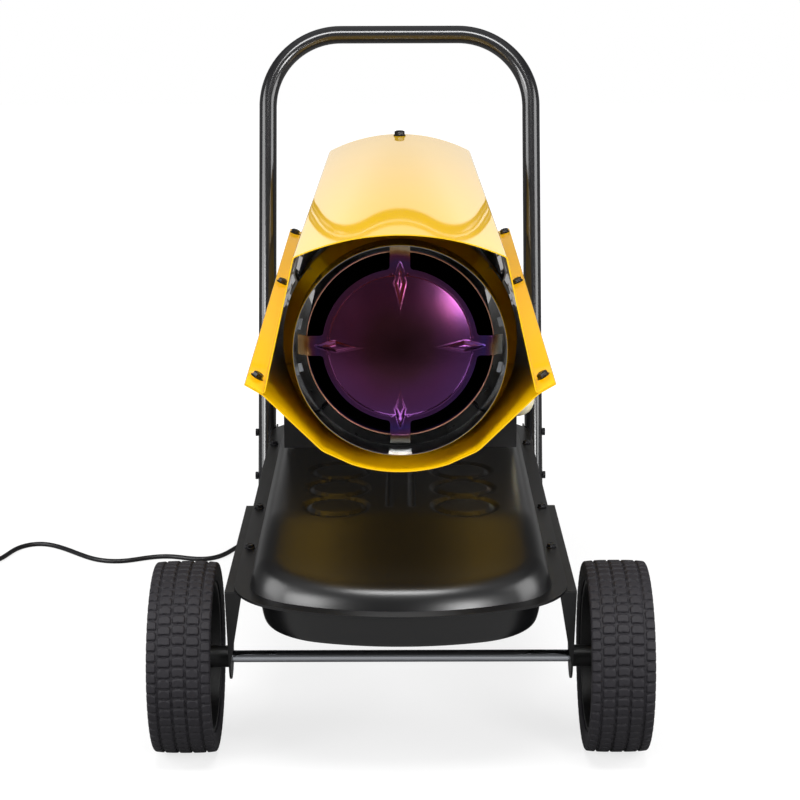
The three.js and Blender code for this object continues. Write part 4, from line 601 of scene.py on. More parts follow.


# %% [markdown]
# ## The mains lead
# The lead is one round cable, 8 mm thick, that leaves the gland on the back of the control box,
# falls behind the tank and snakes over the floor to the left, out of the picture. The rest of its
# length is wound as for storage, just outside the view: two layers that spiral in, climb once and
# spiral out, held by a tie. The route is a list of given points, joined by a centripetal
# Catmull-Rom curve, whose knots are the square roots of the distances between the points. Such a
# curve can still turn sharply at a point, which a stiff cable doesn't, so its bends are eased.
# On the floor the eased lead lies up to 14 mm beside the CAD model's, whose bends are tighter.

# %% The route of the lead
LEAD_R = 0.004
LEAD_POINTS = np.array([
    [-0.120, 0.8346, 0.330], [-0.120, 0.846, 0.330], [-0.121, 0.868, 0.326],
    [-0.124, 0.896, 0.304], [-0.127, 0.918, 0.262], [-0.130, 0.930, 0.200],
    [-0.133, 0.936, 0.130], [-0.139, 0.943, 0.066], [-0.152, 0.951, 0.022],
    [-0.178, 0.957, 0.0052], [-0.212, 0.955, 0.004], [-0.250, 0.938, 0.004],
    [-0.282, 0.902, 0.004], [-0.304, 0.848, 0.004], [-0.328, 0.818, 0.004],
    [-0.362, 0.820, 0.004], [-0.400, 0.838, 0.004], [-0.440, 0.828, 0.004],
    [-0.478, 0.806, 0.004], [-0.520, 0.813, 0.004], [-0.558, 0.848, 0.004],
    [-0.600, 0.892, 0.004], [-0.638, 0.915, 0.004], [-0.667, 0.898, 0.004],
    [-0.681, 0.864, 0.004], [-0.687, 0.832, 0.0042], [-0.699, 0.806, 0.0046],
    [-0.711, 0.787, 0.005], [-0.7175, 0.774, 0.0053],
])
COIL_AT, COIL_R, COIL_Z = (-0.768, 0.752), 0.0495, 0.0053
COIL_TURNS, COIL_PITCH = 3.5, 0.0087
COIL_RUN, COIL_CLIMB, COIL_SOFT = 0.010, 0.25, 0.07


def through(points, steps):
    """Points on a centripetal Catmull-Rom curve through the given ones, steps to a stretch."""
    ends = [2 * points[0] - points[1]], [2 * points[-1] - points[-2]]
    p = np.concatenate([ends[0], points, ends[1]])
    knot = np.concatenate([[0], np.cumsum(np.linalg.norm(np.diff(p, axis=0), axis=1) ** 0.5)])
    share = (np.arange(steps) / steps)[None, :, None]
    t0, t1, t2, t3 = (knot[k:len(knot) - 3 + k][:, None, None] for k in range(4))
    p0, p1, p2, p3 = (p[k:len(p) - 3 + k][:, None, :] for k in range(4))
    t = t1 + (t2 - t1) * share

    def blend(a, b, start, end):
        """a at the start knot and b at the end knot, in straight shares between them."""
        return (a * (end - t) + b * (t - start)) / (end - start)

    first = blend(blend(p0, p1, t0, t1), blend(p1, p2, t1, t2), t0, t2)
    second = blend(blend(p1, p2, t1, t2), blend(p2, p3, t2, t3), t1, t3)
    curve = blend(first, second, t1, t2).reshape(-1, 3)
    return np.concatenate([curve, points[-1:]])


def coil_path(steps=40):
    """The coil: radius R - pitch times the turns from the nearer end, with the turning point
    rounded as a hyperbola is, and a climb of one pitch there."""
    turn = np.arange(round(steps * COIL_TURNS) + 1) / steps
    half = COIL_TURNS / 2
    nearer = np.hypot(half, COIL_SOFT) - np.hypot(turn - half, COIL_SOFT)
    radius = COIL_R - COIL_PITCH * nearer
    angle = -2 * np.pi * turn
    rise = COIL_PITCH * smoothstep(turn, half - COIL_CLIMB, half + COIL_CLIMB)
    x, y = COIL_AT
    loops = [x + radius * np.cos(angle), y + radius * np.sin(angle), COIL_Z + rise]
    loops = np.stack(loops, axis=-1)
    start = [[x + COIL_R, y + COIL_RUN, COIL_Z]]
    end = [[x - COIL_R, y + COIL_RUN, COIL_Z + COIL_PITCH]]
    return np.concatenate([start, loops, end])


# %% Easing the bends
LEAD_STEP, EASE, STRAIGHT = 0.005, 0.018, 0.030


def eased(path, free_length):
    """Even steps along the path. Between the straight start and the coil, each point becomes the
    mean of its neighbours, weighted by exp(-(d / EASE)^2 / 2) for a distance d along the lead."""
    arc_length = np.concatenate([[0], np.cumsum(np.linalg.norm(np.diff(path, axis=0), axis=1))])
    count = round(arc_length[-1] / LEAD_STEP)
    place = np.linspace(0, arc_length[-1], count + 1)
    even = np.stack([np.interp(place, arc_length, path[:, k]) for k in range(3)], axis=-1)
    weight = np.exp(-((place[:, None] - place[None, :]) / EASE) ** 2 / 2)
    mean = weight @ even / weight.sum(axis=1, keepdims=True)
    share = smoothstep(place, STRAIGHT, 2 * STRAIGHT)
    share = (share * (1 - smoothstep(place, free_length, free_length + STRAIGHT)))[:, None]
    return even * (1 - share) + mean * share


# %% The lead
free_part = through(LEAD_POINTS, 8)
free_length = np.linalg.norm(np.diff(free_part, axis=0), axis=1).sum()
lead_path = eased(np.concatenate([free_part, coil_path()]), free_length) + [0, AXLE_Y, 0]
lead_path[:, 2] = np.maximum(lead_path[:, 2], LEAD_R)
lead = dress(rod("mains_lead_sheath", lead_path, LEAD_R, 16), "cord_rubber",
             "mains_lead", "mains_lead_coil")

# %% [markdown]
# ## The housing
# The housing is two folded sheets that meet in a flange along each side. A sheet bends along a
# small arc, never in a sharp corner, so each corner of the section becomes a quadratic curve whose
# middle control point is the corner. The section changes slowly from front to rear, and the front
# edge is cut at a slant, so the grid's y runs from the slanted front line to the square rear one.

# %% Section of the housing
SHEET = 0.0015
GAP = 0.0003
TOP_FRONT_Y, BOTTOM_FRONT_Y, HOUSING_REAR_Y = -0.216, -0.147, 0.900
SECTION_FRONT = {"tip": (0.187, 0.5394), "fold": (0.1654, 0.526), "corner": (0.126, 0.6985),
                 "top": (0, 0.7265), "hip": (0.096, 0.4484), "keel": (0.0596, 0.4304),
                 "bottom": (0, 0.4203)}
SECTION_REAR = {"tip": (0.186, 0.566), "fold": (0.1668, 0.560), "corner": (0.118, 0.698),
                "top": (0, 0.7265), "hip": (0.098, 0.452), "keel": (0.060, 0.432),
                "bottom": (0, 0.422)}


def section(name, share):
    """A named corner of the section at shares of the housing's length, as an array of (x, z)."""
    share = np.asarray(share, float)[..., None]
    return np.array(SECTION_FRONT[name]) * (1 - share) + np.array(SECTION_REAR[name]) * share


def arch(edge, middle, steps=40):
    """Points of the arc through (-x, z), the middle and (x, z), for each station."""
    rise = middle[:, 1] - edge[:, 1]
    radius = (edge[:, 0] ** 2 + rise ** 2) / (2 * np.abs(rise))
    half = np.arcsin(edge[:, 0] / radius)
    angle = half[:, None] * np.linspace(-1, 1, steps + 1)
    drop = np.sign(rise)[:, None] * radius[:, None] * (1 - np.cos(angle))
    return np.stack([radius[:, None] * np.sin(angle), middle[:, 1:] - drop], axis=-1)


def bent(line, bends, steps=6):
    """The line, stations by points by 2, with each corner in bends rounded. bends maps the
    corner's place in the line to the length of line that the bend takes up on each side."""
    columns = []
    for k in range(line.shape[1]):
        if k not in bends:
            columns.append(line[:, k:k + 1])
            continue
        corner = line[:, k]
        legs = [line[:, k - 1] - corner, line[:, k + 1] - corner]
        a, b = (corner + leg / np.linalg.norm(leg, axis=1, keepdims=True) * bends[k]
                for leg in legs)
        a, corner, b = a[:, None], corner[:, None], b[:, None]
        t = np.linspace(0, 1, steps)[None, :, None]
        columns.append((1 - t) ** 2 * a + 2 * t * (1 - t) * corner + t * t * b)
    return np.concatenate(columns, axis=1)


LEAST_COSINE = 0.3


def offset(line, distance):
    """The line moved to its left by a distance, along the mean normal of its two segments."""
    step = np.diff(line, axis=1)
    step = step / np.linalg.norm(step, axis=2, keepdims=True)
    before = np.concatenate([step[:, :1], step], axis=1)
    after = np.concatenate([step, step[:, -1:]], axis=1)
    normal = (before + after)[..., ::-1] * [-1, 1]
    normal /= np.linalg.norm(normal, axis=2, keepdims=True)
    cosine = (normal * (before[..., ::-1] * [-1, 1])).sum(axis=2, keepdims=True)
    return line + normal * distance / np.maximum(cosine, LEAST_COSINE)


def housing_y(z, share):
    """Slanted front line at share 0, square rear edge at share 1."""
    top, bottom = SECTION_FRONT["top"][1], SECTION_FRONT["bottom"][1]
    front = TOP_FRONT_Y + (top - z) * (BOTTOM_FRONT_Y - TOP_FRONT_Y) / (top - bottom)
    return front + (HOUSING_REAR_Y - front) * share


def mirrored(points):
    """The same (x, z) points on the other side."""
    return points * [-1, 1]


def housing_sheet(name, line, thickness, share):
    """A shell: the line of each station and its offset, laid along the housing."""
    sides = []
    for section_line in (line, offset(line, thickness)):
        y = housing_y(section_line[..., 1], share[:, None])
        sides.append(at(section_line[..., 0], y, section_line[..., 1]))
    return walled(name, *sides)


# %% Upper shell
STATIONS = np.linspace(0, 1, 41)
FOLD_BEND, TOP_BEND, HIP_BEND, KEEL_BEND = 0.0035, 0.0030, 0.006, 0.0015


def upper_line(share):
    """Left tip, left fold, the arch over the top, right fold and right tip."""
    tip, fold = section("tip", share)[:, None], section("fold", share)[:, None]
    top = arch(section("corner", share), section("top", share))
    return np.concatenate([mirrored(tip), mirrored(fold), top, fold, tip], axis=1)


upper = upper_line(STATIONS)
last = upper.shape[1] - 1
upper = bent(upper, {1: FOLD_BEND, 2: TOP_BEND, last - 2: TOP_BEND, last - 1: FOLD_BEND})
dress(housing_sheet("upper_housing", upper, -SHEET, STATIONS), "shell_yellow", "upper_shell")


# %% Lower shell
def lower_line(share):
    """The lower sheet's flange lies under the upper one's, two sheets and a gap further down."""
    tip, fold = section("tip", share), section("fold", share)
    along = (fold - tip) / np.linalg.norm(fold - tip, axis=1, keepdims=True)
    under = np.stack([along[:, 1], -along[:, 0]], axis=-1) * (2 * SHEET + GAP)
    under *= -np.sign(under[:, 1:])
    tip, fold = tip + under, fold + under
    hip = section("hip", share)
    bottom = arch(section("keel", share), section("bottom", share), 24)
    side = [tip[:, None], fold[:, None], hip[:, None]]
    return np.concatenate([*(mirrored(s) for s in side), bottom, *side[::-1]], axis=1)


lower = lower_line(STATIONS)
last = lower.shape[1] - 1
lower = bent(lower, {1: FOLD_BEND, 2: HIP_BEND, 3: KEEL_BEND,
                     last - 3: KEEL_BEND, last - 2: HIP_BEND, last - 1: FOLD_BEND})
dress(housing_sheet("lower_housing", lower, SHEET, STATIONS), "shell_yellow", "lower_shell")

# %% [markdown]
# ## The hot section
# Everything round the burner is turned about one axis: the outlet, with a straight collar and a
# shoulder behind it, the heat shield inside the housing and the combustion chamber. Turning a
# profile is the natural way to make them, with enough segments that the rims look round.

# %% Outlet, shield and chamber
HOT_AXIS = (0, AXLE_Y, HOT_AXIS_Z)
COLLAR_R, CONE_R = 0.131, 0.146
COLLAR_SHEET, ROUND_SEGMENTS = 0.0008, 144
COLLAR_FRONT_Y, COLLAR_REAR_Y, SHOULDER_Y, CONE_REAR_Y = BOTTOM_FRONT_Y, -0.097, -0.077, -0.020


def turned_wall(name, profile, sheet):
    """A turned sheet: the profile of (radius, y), and the same one a sheet thickness further in."""
    outer = turned(profile, "y", HOT_AXIS, ROUND_SEGMENTS)
    inner = turned([(r - sheet, y) for r, y in profile], "y", HOT_AXIS, ROUND_SEGMENTS)
    return walled(name, outer, inner, wrap=True)


EDGE_IN, EDGE_BACK = 0.0006, 0.0008
outlet = [(COLLAR_R - EDGE_IN, COLLAR_FRONT_Y), (COLLAR_R, COLLAR_FRONT_Y + EDGE_BACK),
          (COLLAR_R, COLLAR_REAR_Y - 0.002), (COLLAR_R + 0.0005, COLLAR_REAR_Y + 0.001),
          (CONE_R - 0.0005, SHOULDER_Y - 0.001), (CONE_R, SHOULDER_Y + 0.002), (CONE_R, CONE_REAR_Y)]
dress(turned_wall("outlet_collar", outlet, COLLAR_SHEET), "bright_steel", "outlet_cone")
SHIELD_R = CONE_R - SHEET - GAP
SHIELD_Y = (-0.060, 0.452)
dress(turned_wall("shield_sleeve", [(SHIELD_R, y) for y in SHIELD_Y], SHEET), "plated_steel",
      "heat_shield")

# %% Combustion chamber with its rear plate and spacing fins
CHAMBER_R, CHAMBER_REAR_Y, BURNER_R = 0.117, 0.470, 0.060
FIN_HALF, FIN_LENGTH, FIN_Y, FIN_GAP = 0.00125, 0.024, (-0.030, 0.400), 0.001


def slab(low, high):
    """The eight corners and six faces of a box, as points and quads."""
    corners = np.array([[(high if k >> a & 1 else low)[a] for a in range(3)] for k in range(8)])
    faces = np.array([[2, 3, 1, 0], [5, 7, 6, 4], [1, 5, 4, 0], [6, 7, 3, 2], [4, 6, 2, 0],
                      [3, 7, 5, 1]])
    return corners, faces


def gathered(parts):
    """Points and quads of several shapes as one pair of arrays."""
    starts = np.cumsum([0] + [len(points) for points, _ in parts[:-1]])
    points = np.concatenate([points for points, _ in parts])
    return points, np.concatenate([quads + start for start, (_, quads) in zip(starts, parts)])


def chamber_shapes():
    """The wall and rear plate as one closed profile, turned, and fins that reach to the sleeve."""
    wall = CHAMBER_R - SHEET
    profile = [(CHAMBER_R - EDGE_IN, CHAMBER_FRONT_Y), (CHAMBER_R, CHAMBER_FRONT_Y + EDGE_BACK),
               (CHAMBER_R, CHAMBER_REAR_Y - 0.003), (CHAMBER_R - 0.003, CHAMBER_REAR_Y),
               (BURNER_R, CHAMBER_REAR_Y), (BURNER_R, CHAMBER_REAR_Y - SHEET),
               (wall - 0.002, CHAMBER_REAR_Y - SHEET), (wall, CHAMBER_REAR_Y - 0.004),
               (wall, CHAMBER_FRONT_Y)]
    points = turned(profile, "y", HOT_AXIS, ROUND_SEGMENTS).reshape(-1, 3)
    quads = grid_quads(len(profile), ROUND_SEGMENTS, wrap_rows=True, wrap_columns=True)
    shapes = [(points, facing_out(points, quads))]
    fin_tip = SHIELD_R - SHEET - FIN_GAP
    for turn in np.pi / 4 + np.arange(4) * np.pi / 2:
        for y in FIN_Y:
            fin, faces = slab((-FIN_HALF, y, wall + 0.0005), (FIN_HALF, y + FIN_LENGTH, fin_tip))
            shapes.append((turned_about(fin, 1, turn) + HOT_AXIS, faces))
    return gathered(shapes)


dress(build("chamber_tube", *chamber_shapes()), "tinted_steel", "combustion_chamber")

# %% [markdown]
# Beside the deflector's left and right arms sit small bright clips, spot-welded to the inside of
# the collar. Four short strips stand for them, which follow the collar's curve and turn in at the
# rear. They are small, so each is one closed loop of rows with a cap at either end.

# %% Clips inside the collar
CLIP_R, CLIP_SHEET, CLIP_FOOT = COLLAR_R - COLLAR_SHEET - 0.0002, 0.0012, 0.006
CLIP_FRONT_Y, CLIP_REAR_Y, CLIP_COLUMNS = -0.122, -0.104, 8
CLIP_PLACES = ((13, 2.6), (168, 3.2), (193, 2.4), (347, 3.0))
inside_y = CLIP_REAR_Y - CLIP_SHEET
CLIP_ROWS = np.array([
    (CLIP_R, CLIP_FRONT_Y), (CLIP_R, CLIP_REAR_Y), (CLIP_R - CLIP_FOOT, CLIP_REAR_Y),
    (CLIP_R - CLIP_FOOT, inside_y), (CLIP_R - CLIP_SHEET, inside_y),
    (CLIP_R - CLIP_SHEET, CLIP_FRONT_Y),
])


def clip_shapes():
    """The rows of (radius, y) swept through a small angle, at each place in degrees."""
    shapes = []
    radius, y = CLIP_ROWS[:, :1], CLIP_ROWS[:, 1:]
    first, last = np.arange(3) * CLIP_COLUMNS, np.arange(5, 2, -1) * CLIP_COLUMNS
    cap = np.stack([first[:-1], first[1:], last[1:], last[:-1]], axis=-1)
    far_cap = (cap + CLIP_COLUMNS - 1)[:, ::-1]
    quads = grid_quads(len(CLIP_ROWS), CLIP_COLUMNS, wrap_rows=True)
    for middle, half in CLIP_PLACES:
        angle = np.radians(np.linspace(middle - half, middle + half, CLIP_COLUMNS))
        grid = np.stack([radius * np.cos(angle), y + 0 * angle, radius * np.sin(angle)], axis=-1)
        shapes.append((grid.reshape(-1, 3) + HOT_AXIS, np.concatenate([quads, cap, far_cap])))
    return gathered(shapes)


dress(build("collar_clips", *clip_shapes()), "plated_steel")

# %% [markdown]
# ## The flame deflector
# This is the first thing seen in the outlet: a domed stainless disc, pressed in one piece with
# four arms. Its outline is drawn as arcs and straight lines, with a fillet where an arm leaves the
# disc. The surface is then filled from the middle to the outline in straight shares, and the press
# tool's shape is added as a function of the place: a dome, a flat rim round it, a spear-shaped rib
# along each arm, and arm ends that fold back to stand on the collar.

# %% Outline of the deflector
DISC_R, DISC_Y, DOME, DISC_SHEET = 0.096, -0.111, 0.013, 0.0016
ARM_HALF, ARM_FILLET, ARM_END_R = 0.0125, 0.005, 0.1266
ARM_FOLD_R, FOLD_SLOPE = 0.113, 0.8


def quarter_outline():
    """Outline round the arm that points along +u: tip, side, fillet and a stretch of the disc."""
    along = np.linspace(0, 1, 12)
    tip = np.stack([np.full(12, ARM_END_R), along * ARM_HALF], axis=-1)
    centre_v = ARM_HALF + ARM_FILLET
    centre_u = math.sqrt((DISC_R + ARM_FILLET) ** 2 - centre_v ** 2)
    side_u = np.linspace(ARM_END_R, centre_u, 14)[1:]
    side = np.stack([side_u, np.full(13, ARM_HALF)], axis=-1)
    inward = math.atan2(centre_v, centre_u)
    angle = np.linspace(-math.pi / 2, -math.pi + inward, 8)[1:]
    fillet = np.stack([np.cos(angle), np.sin(angle)], axis=-1) * ARM_FILLET + [centre_u, centre_v]
    round_angle = np.linspace(inward, math.pi / 4, 26)[1:]
    rim = DISC_R * np.stack([np.cos(round_angle), np.sin(round_angle)], axis=-1)
    half = np.concatenate([tip, side, fillet, rim])
    other = half[1:-1][::-1] * [1, -1]
    return np.concatenate([other, half])


def deflector_outline():
    """The quarter's outline turned four times. A quarter ends where the next one starts."""
    turns = [np.array([[c, s], [-s, c]]) for c, s in ((1, 0), (0, 1), (-1, 0), (0, -1))]
    return np.concatenate([quarter_outline() @ turn for turn in turns])


# %% Press shape of the deflector
RIM_W, RIM_STEP, STEP_W = 0.006, 0.0009, 0.002
RIB_START, RIB_WIDE, RIB_END = 0.044, 0.079, 0.105
RIB_HALF, RIB_H = 0.0085, 0.0046


def press_depth(u, v):
    """How far the sheet stands back (+) or out (-) at a place, from the plane of the disc.
    The dome falls off with the square of the radius. A rib is a quarter sine wave of a tent: full
    on the arm's middle line, zero at its half width, which grows and shrinks like a spear head.
    The small step where the rim starts fades out under a rib."""
    radius = np.hypot(u, v)
    flat = DISC_R - RIM_W
    dome = -DOME * np.clip(1 - (radius / flat) ** 2, 0, 1)
    along = np.maximum(np.abs(u), np.abs(v))
    across = np.minimum(np.abs(u), np.abs(v))
    grow = np.clip((along - RIB_START) / (RIB_WIDE - RIB_START), 0, 1)
    shrink = np.clip((RIB_END - along) / (RIB_END - RIB_WIDE), 0, 1)
    width = np.where(along < RIB_WIDE, grow, shrink ** 0.7)
    tent = np.sin(np.clip(width - across / RIB_HALF, 0, 1) * math.pi / 2)
    step = RIM_STEP * (1 - smoothstep(radius, flat - STEP_W, flat))
    step = step * (1 - smoothstep(tent, 0, 0.3))
    fold = FOLD_SLOPE * np.maximum(along - ARM_FOLD_R, 0) * (across <= ARM_HALF + 1e-6)
    return dome - step - RIB_H * tent + fold


outline = deflector_outline()
shares = np.concatenate([[0.0], np.linspace(0.06, 0.55, 16), np.linspace(0.565, 1, 40)])[:, None]
disc_u, disc_v = shares * outline[:, 0], shares * outline[:, 1]
depth = press_depth(disc_u, disc_v)
front_face = at(disc_u, DISC_Y + depth, disc_v + HOT_AXIS_Z)
back_face = at(disc_u, DISC_Y + depth + DISC_SHEET, disc_v + HOT_AXIS_Z)
deflector = walled("deflector_pressing", front_face, back_face, wrap=True, sharp=24, shut=0)
dress(deflector, "tinted_steel", "flame_deflector", material=DEFLECTOR_TINT_AND_REFLECTION)

# %% [markdown]
# ## The tank
# The tank is two deep-drawn pans, joined at a flange. Seen from above, the plan is a nose arc, two
# front corners, straight sides and two rear corners. The wall is the same all round: it leaves the
# flange steeply and rolls over into the flat top, which 1 - (1 - u)^p follows well for a distance
# u in from the flange. So the grid's rows are the plan moved inwards step by step, and then drawn
# together onto a line down the middle, and its columns run round the tank.

# %% Plan of the tank
FLANGE_PLAN = {"half": 0.216, "front": -0.180, "rear": 0.850}
LOWER_PLAN = {"half": 0.183, "front": -0.168, "rear": 0.820}
NOSE_R, FRONT_CORNER_R, REAR_CORNER_R = 0.350, 0.110, 0.090


def arc(centre, radius, start, end, count):
    """Points of an arc and its outward normals."""
    angle = np.linspace(start, end, count)
    normal = np.stack([np.cos(angle), np.sin(angle)], axis=-1)
    return np.array(centre) + radius * normal, normal


def tank_plan(plan):
    """Points round the plan and their outward normals: the right half, and its mirror image."""
    half, front, rear = plan["half"], plan["front"], plan["rear"]
    corner_x = half - FRONT_CORNER_R
    drop = math.sqrt((NOSE_R - FRONT_CORNER_R) ** 2 - corner_x ** 2)
    split = math.atan2(corner_x, drop) - math.pi / 2
    nose = arc((0, front + NOSE_R), NOSE_R, -math.pi / 2, split, 14)
    corner = arc((corner_x, front + NOSE_R - drop), FRONT_CORNER_R, split, 0, 22)
    y = np.linspace(front + NOSE_R - drop, rear - REAR_CORNER_R, 130)[1:-1]
    side = np.stack([np.full_like(y, half), y], axis=-1), np.tile([1.0, 0.0], (len(y), 1))
    back = arc((half - REAR_CORNER_R, rear - REAR_CORNER_R), REAR_CORNER_R, 0, math.pi / 2, 20)
    x = np.linspace(half - REAR_CORNER_R, 0, 18)[1:]
    end = np.stack([x, np.full_like(x, rear)], axis=-1), np.tile([0.0, 1.0], (len(x), 1))
    pieces = [nose, (corner[0][1:], corner[1][1:]), side, back, end]
    points = np.concatenate([p for p, _ in pieces])
    normals = np.concatenate([n for _, n in pieces])
    flip = np.array([-1.0, 1.0])
    return (np.concatenate([points, points[1:-1][::-1] * flip]),
            np.concatenate([normals, normals[1:-1][::-1] * flip]))


# %% Pressed shape of the tank
SEAM_Z, TOP_Z, NOSE_TOP_Z, BOTTOM_Z = 0.242, 0.300, 0.273, 0.196
RAMP_FROM_Y, RAMP_LENGTH = -0.150, 0.250
SPINE_FRONT_GAP, SPINE_REAR_GAP = 0.08, 0.05
FLANGE_W, UPPER_WALL_W, LOWER_WALL_W = 0.020, 0.052, 0.020
UPPER_POWER, LOWER_POWER = 5.2, 6.0
RING_X, RING_FIRST_Y, RING_PITCH, RING_ROWS = 0.088, 0.121, 0.092, 3
RING_R, RING_INNER_R, RING_DEPTH = 0.046, 0.036, 0.0030
GROOVE_X, GROOVE_W, GROOVE_LENGTH = 0.016, 0.006, 0.200


def tank_top(y):
    """Height of the top along y: it ramps up from the nose."""
    return NOSE_TOP_Z + (TOP_Z - NOSE_TOP_Z) * smoothstep(y, RAMP_FROM_Y, RAMP_FROM_Y + RAMP_LENGTH)


def stamped(x, y):
    """Depth of what is stamped into the top: three rings on each side, and two grooves between.
    Each is 1 between its two edges and 0 outside them, by smooth steps across."""
    depth = np.zeros_like(x)
    side = np.abs(x)
    for k in range(RING_ROWS):
        radius = np.hypot(side - RING_X, y - RING_FIRST_Y - k * RING_PITCH)
        ring = smoothstep(radius, RING_INNER_R - 0.001, RING_INNER_R + 0.003)
        ring *= 1 - smoothstep(radius, RING_R - 0.003, RING_R + 0.001)
        depth = np.maximum(depth, ring)
    groove = 1 - smoothstep(np.abs(side - GROOVE_X), GROOVE_W / 2 - 0.001, GROOVE_W / 2 + 0.001)
    groove *= smoothstep(y, RING_FIRST_Y - 0.002, RING_FIRST_Y + 0.002)
    groove_end = RING_FIRST_Y + GROOVE_LENGTH
    groove *= 1 - smoothstep(y, groove_end - 0.002, groove_end + 0.002)
    return RING_DEPTH * np.maximum(depth, groove)


def rows_of_plan(plan, insets, shares):
    """The plan moved in by each inset, then drawn by each share onto the tank's middle line."""
    points, normals = tank_plan(plan)
    inset = np.asarray(insets)[:, None, None]
    rings = points - inset * normals
    inner = rings[-1]
    front, rear = inner[:, 1].min() + SPINE_FRONT_GAP, inner[:, 1].max() - SPINE_REAR_GAP
    spine = np.stack([np.zeros(len(inner)), np.clip(inner[:, 1], front, rear)], axis=-1)
    share = np.asarray(shares)[:, None, None]
    return rings, inner * (1 - share) + spine * share


def pressing(plan, wall_insets, wall, height, flange_insets, flange_z):
    """A pan: flange rows, wall rows at height(x, y) times their share in wall, and the flat."""
    rings, flat = rows_of_plan(plan, [*flange_insets, *wall_insets], np.linspace(0, 1, 56)[1:])
    rows = np.concatenate([rings, flat])
    x, y = rows[..., 0], rows[..., 1]
    share = np.concatenate([np.zeros(len(flange_insets)), wall, np.ones(len(flat))])[:, None]
    return x, y, flange_z + height(x, y) * share


upper_u = np.linspace(0, 1, 26) ** 1.6
flange_top = SEAM_Z + GAP / 2 + SHEET
x, y, z = pressing(FLANGE_PLAN, FLANGE_W + UPPER_WALL_W * upper_u,
                   1 - (1 - upper_u) ** UPPER_POWER,
                   lambda x, y: tank_top(y) - flange_top, (0.0, 0.008, 0.0165, 0.019), flange_top)
z = z - stamped(x, y) * smoothstep(z, TOP_Z - 0.004, TOP_Z - 0.001)


def pan(name, node, x, y, z, thickness):
    """The pan's sheet, its other side thickness above, as a dressed piece."""
    piece = walled(name, at(x, y, z), at(x, y, z + thickness), wrap=True, sharp=40, shut=-1)
    return dress(piece, "tank_black", node)


pan("tank_upper_pressing", "tank_upper", x, y, z, -SHEET)

# %% [markdown]
# The lower pan is drawn narrower than the flange. Its first rows are therefore the flange's own
# plan, and the next ones the pan's. Both plans have the same number of points, in the same order,
# so the rows join up.

# %% Lower pan
lower_u = np.linspace(0, 1, 22) ** 1.5
flange_bottom = SEAM_Z - GAP / 2 - SHEET
x, y, z = pressing(LOWER_PLAN, LOWER_WALL_W * lower_u, 1 - (1 - lower_u) ** LOWER_POWER,
                   lambda x, y: 0 * x + BOTTOM_Z - flange_bottom, (), flange_bottom)
PAN_SHARE = 0.6
edge, _ = tank_plan(FLANGE_PLAN)
edge = np.stack([edge, edge * (1 - PAN_SHARE) + np.stack([x[0], y[0]], axis=-1) * PAN_SHARE])
x = np.concatenate([edge[..., 0], x])
y = np.concatenate([edge[..., 1], y])
z = np.concatenate([np.full((2, z.shape[1]), flange_bottom), z])
pan("tank_lower_pressing", "tank_lower", x, y, z, SHEET)

# %% Filler neck
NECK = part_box("fuel_cap")
neck_centre = ((NECK[0].x + NECK[1].x) / 2, (NECK[0].y + NECK[1].y) / 2, 0)
NECK_FOOT_Z, NECK_TOP_Z = TOP_Z - 0.0005, TOP_Z + 0.0158
neck_profile = [(0, NECK_FOOT_Z), (0.0235, NECK_FOOT_Z), (0.0205, TOP_Z + 0.003),
                (0.020, TOP_Z + 0.014), (0.0185, NECK_TOP_Z), (0, NECK_TOP_Z)]
dress(lathe("filler_neck", neck_profile, "z", neck_centre, 64), "tank_black")

# %% [markdown]
# ## The handle
# One steel tube is bent twice and leans back. Its path is straight up a leg, round a bend, across
# the top and down again, all in one sloping plane, so a circle carried along the path makes it.

# %% Handle tube
TUBE_R, HANDLE_X, HANDLE_TOP_Y, HANDLE_TOP_Z = 0.015, 0.226, 1.023, 0.8845
HANDLE_LEAN, HANDLE_BEND_R, FOOT_FLOOR = 0.3153, 0.125, 0.008
lean_length = math.hypot(1, HANDLE_LEAN)
tube_end_z = FOOT_FLOOR + TUBE_R * HANDLE_LEAN / lean_length + GAP


def handle_y(z):
    """y of the handle's middle at a height."""
    return HANDLE_TOP_Y - (HANDLE_TOP_Z - z) * HANDLE_LEAN


def handle_path():
    """Half the path as x and distance down the slope, then mirrored."""
    angle = np.linspace(0, math.pi / 2, 28)
    bend_x = HANDLE_X - HANDLE_BEND_R + HANDLE_BEND_R * np.cos(angle)
    bend_down = HANDLE_BEND_R * (1 - np.sin(angle))
    leg_down = np.linspace((HANDLE_TOP_Z - tube_end_z) * lean_length, HANDLE_BEND_R, 24)[:-1]
    x = np.concatenate([np.full(23, HANDLE_X), bend_x])
    down = np.concatenate([leg_down, bend_down])
    z = HANDLE_TOP_Z - down / lean_length
    half = np.stack([x, handle_y(z), z], axis=-1)
    return np.concatenate([half, half[::-1] * [-1, 1, 1]]) + [0, AXLE_Y, 0]


dress(rod("handle_tube", handle_path(), TUBE_R, 48), "handle_black", "handle")

# %% [markdown]
# ## Wheels
# A wheel is a solid rubber tyre on a black plastic rim. The tread has five columns of rounded
# square blocks: the distance from a place to the edge of its block, as for a rounded rectangle,
# says whether it is on the block or down in the groove. The profile is turned round the axle with
# that depth taken off its radius.

# %% Tread
WHEEL_R, TYRE_BORE_R, WHEEL_X = 0.127, 0.101, 0.2845
TREAD_ROWS, TREAD_DEPTH, BLOCK_ROUND = 57, 0.0030, 0.0030
COLUMN_EDGES = np.array([-0.0450, -0.0275, -0.0090, 0.0090, 0.0275, 0.0450])
COLUMN_SHIFT = np.array([0.5, 0.0, 0.12, 0.0, 0.5])
ROW_PITCH = 2 * math.pi * WHEEL_R / TREAD_ROWS
GROOVE_HALF, GROOVE_SLOPE, ROW_WAVE = 0.0013, (-0.0009, 0.0005), 0.09


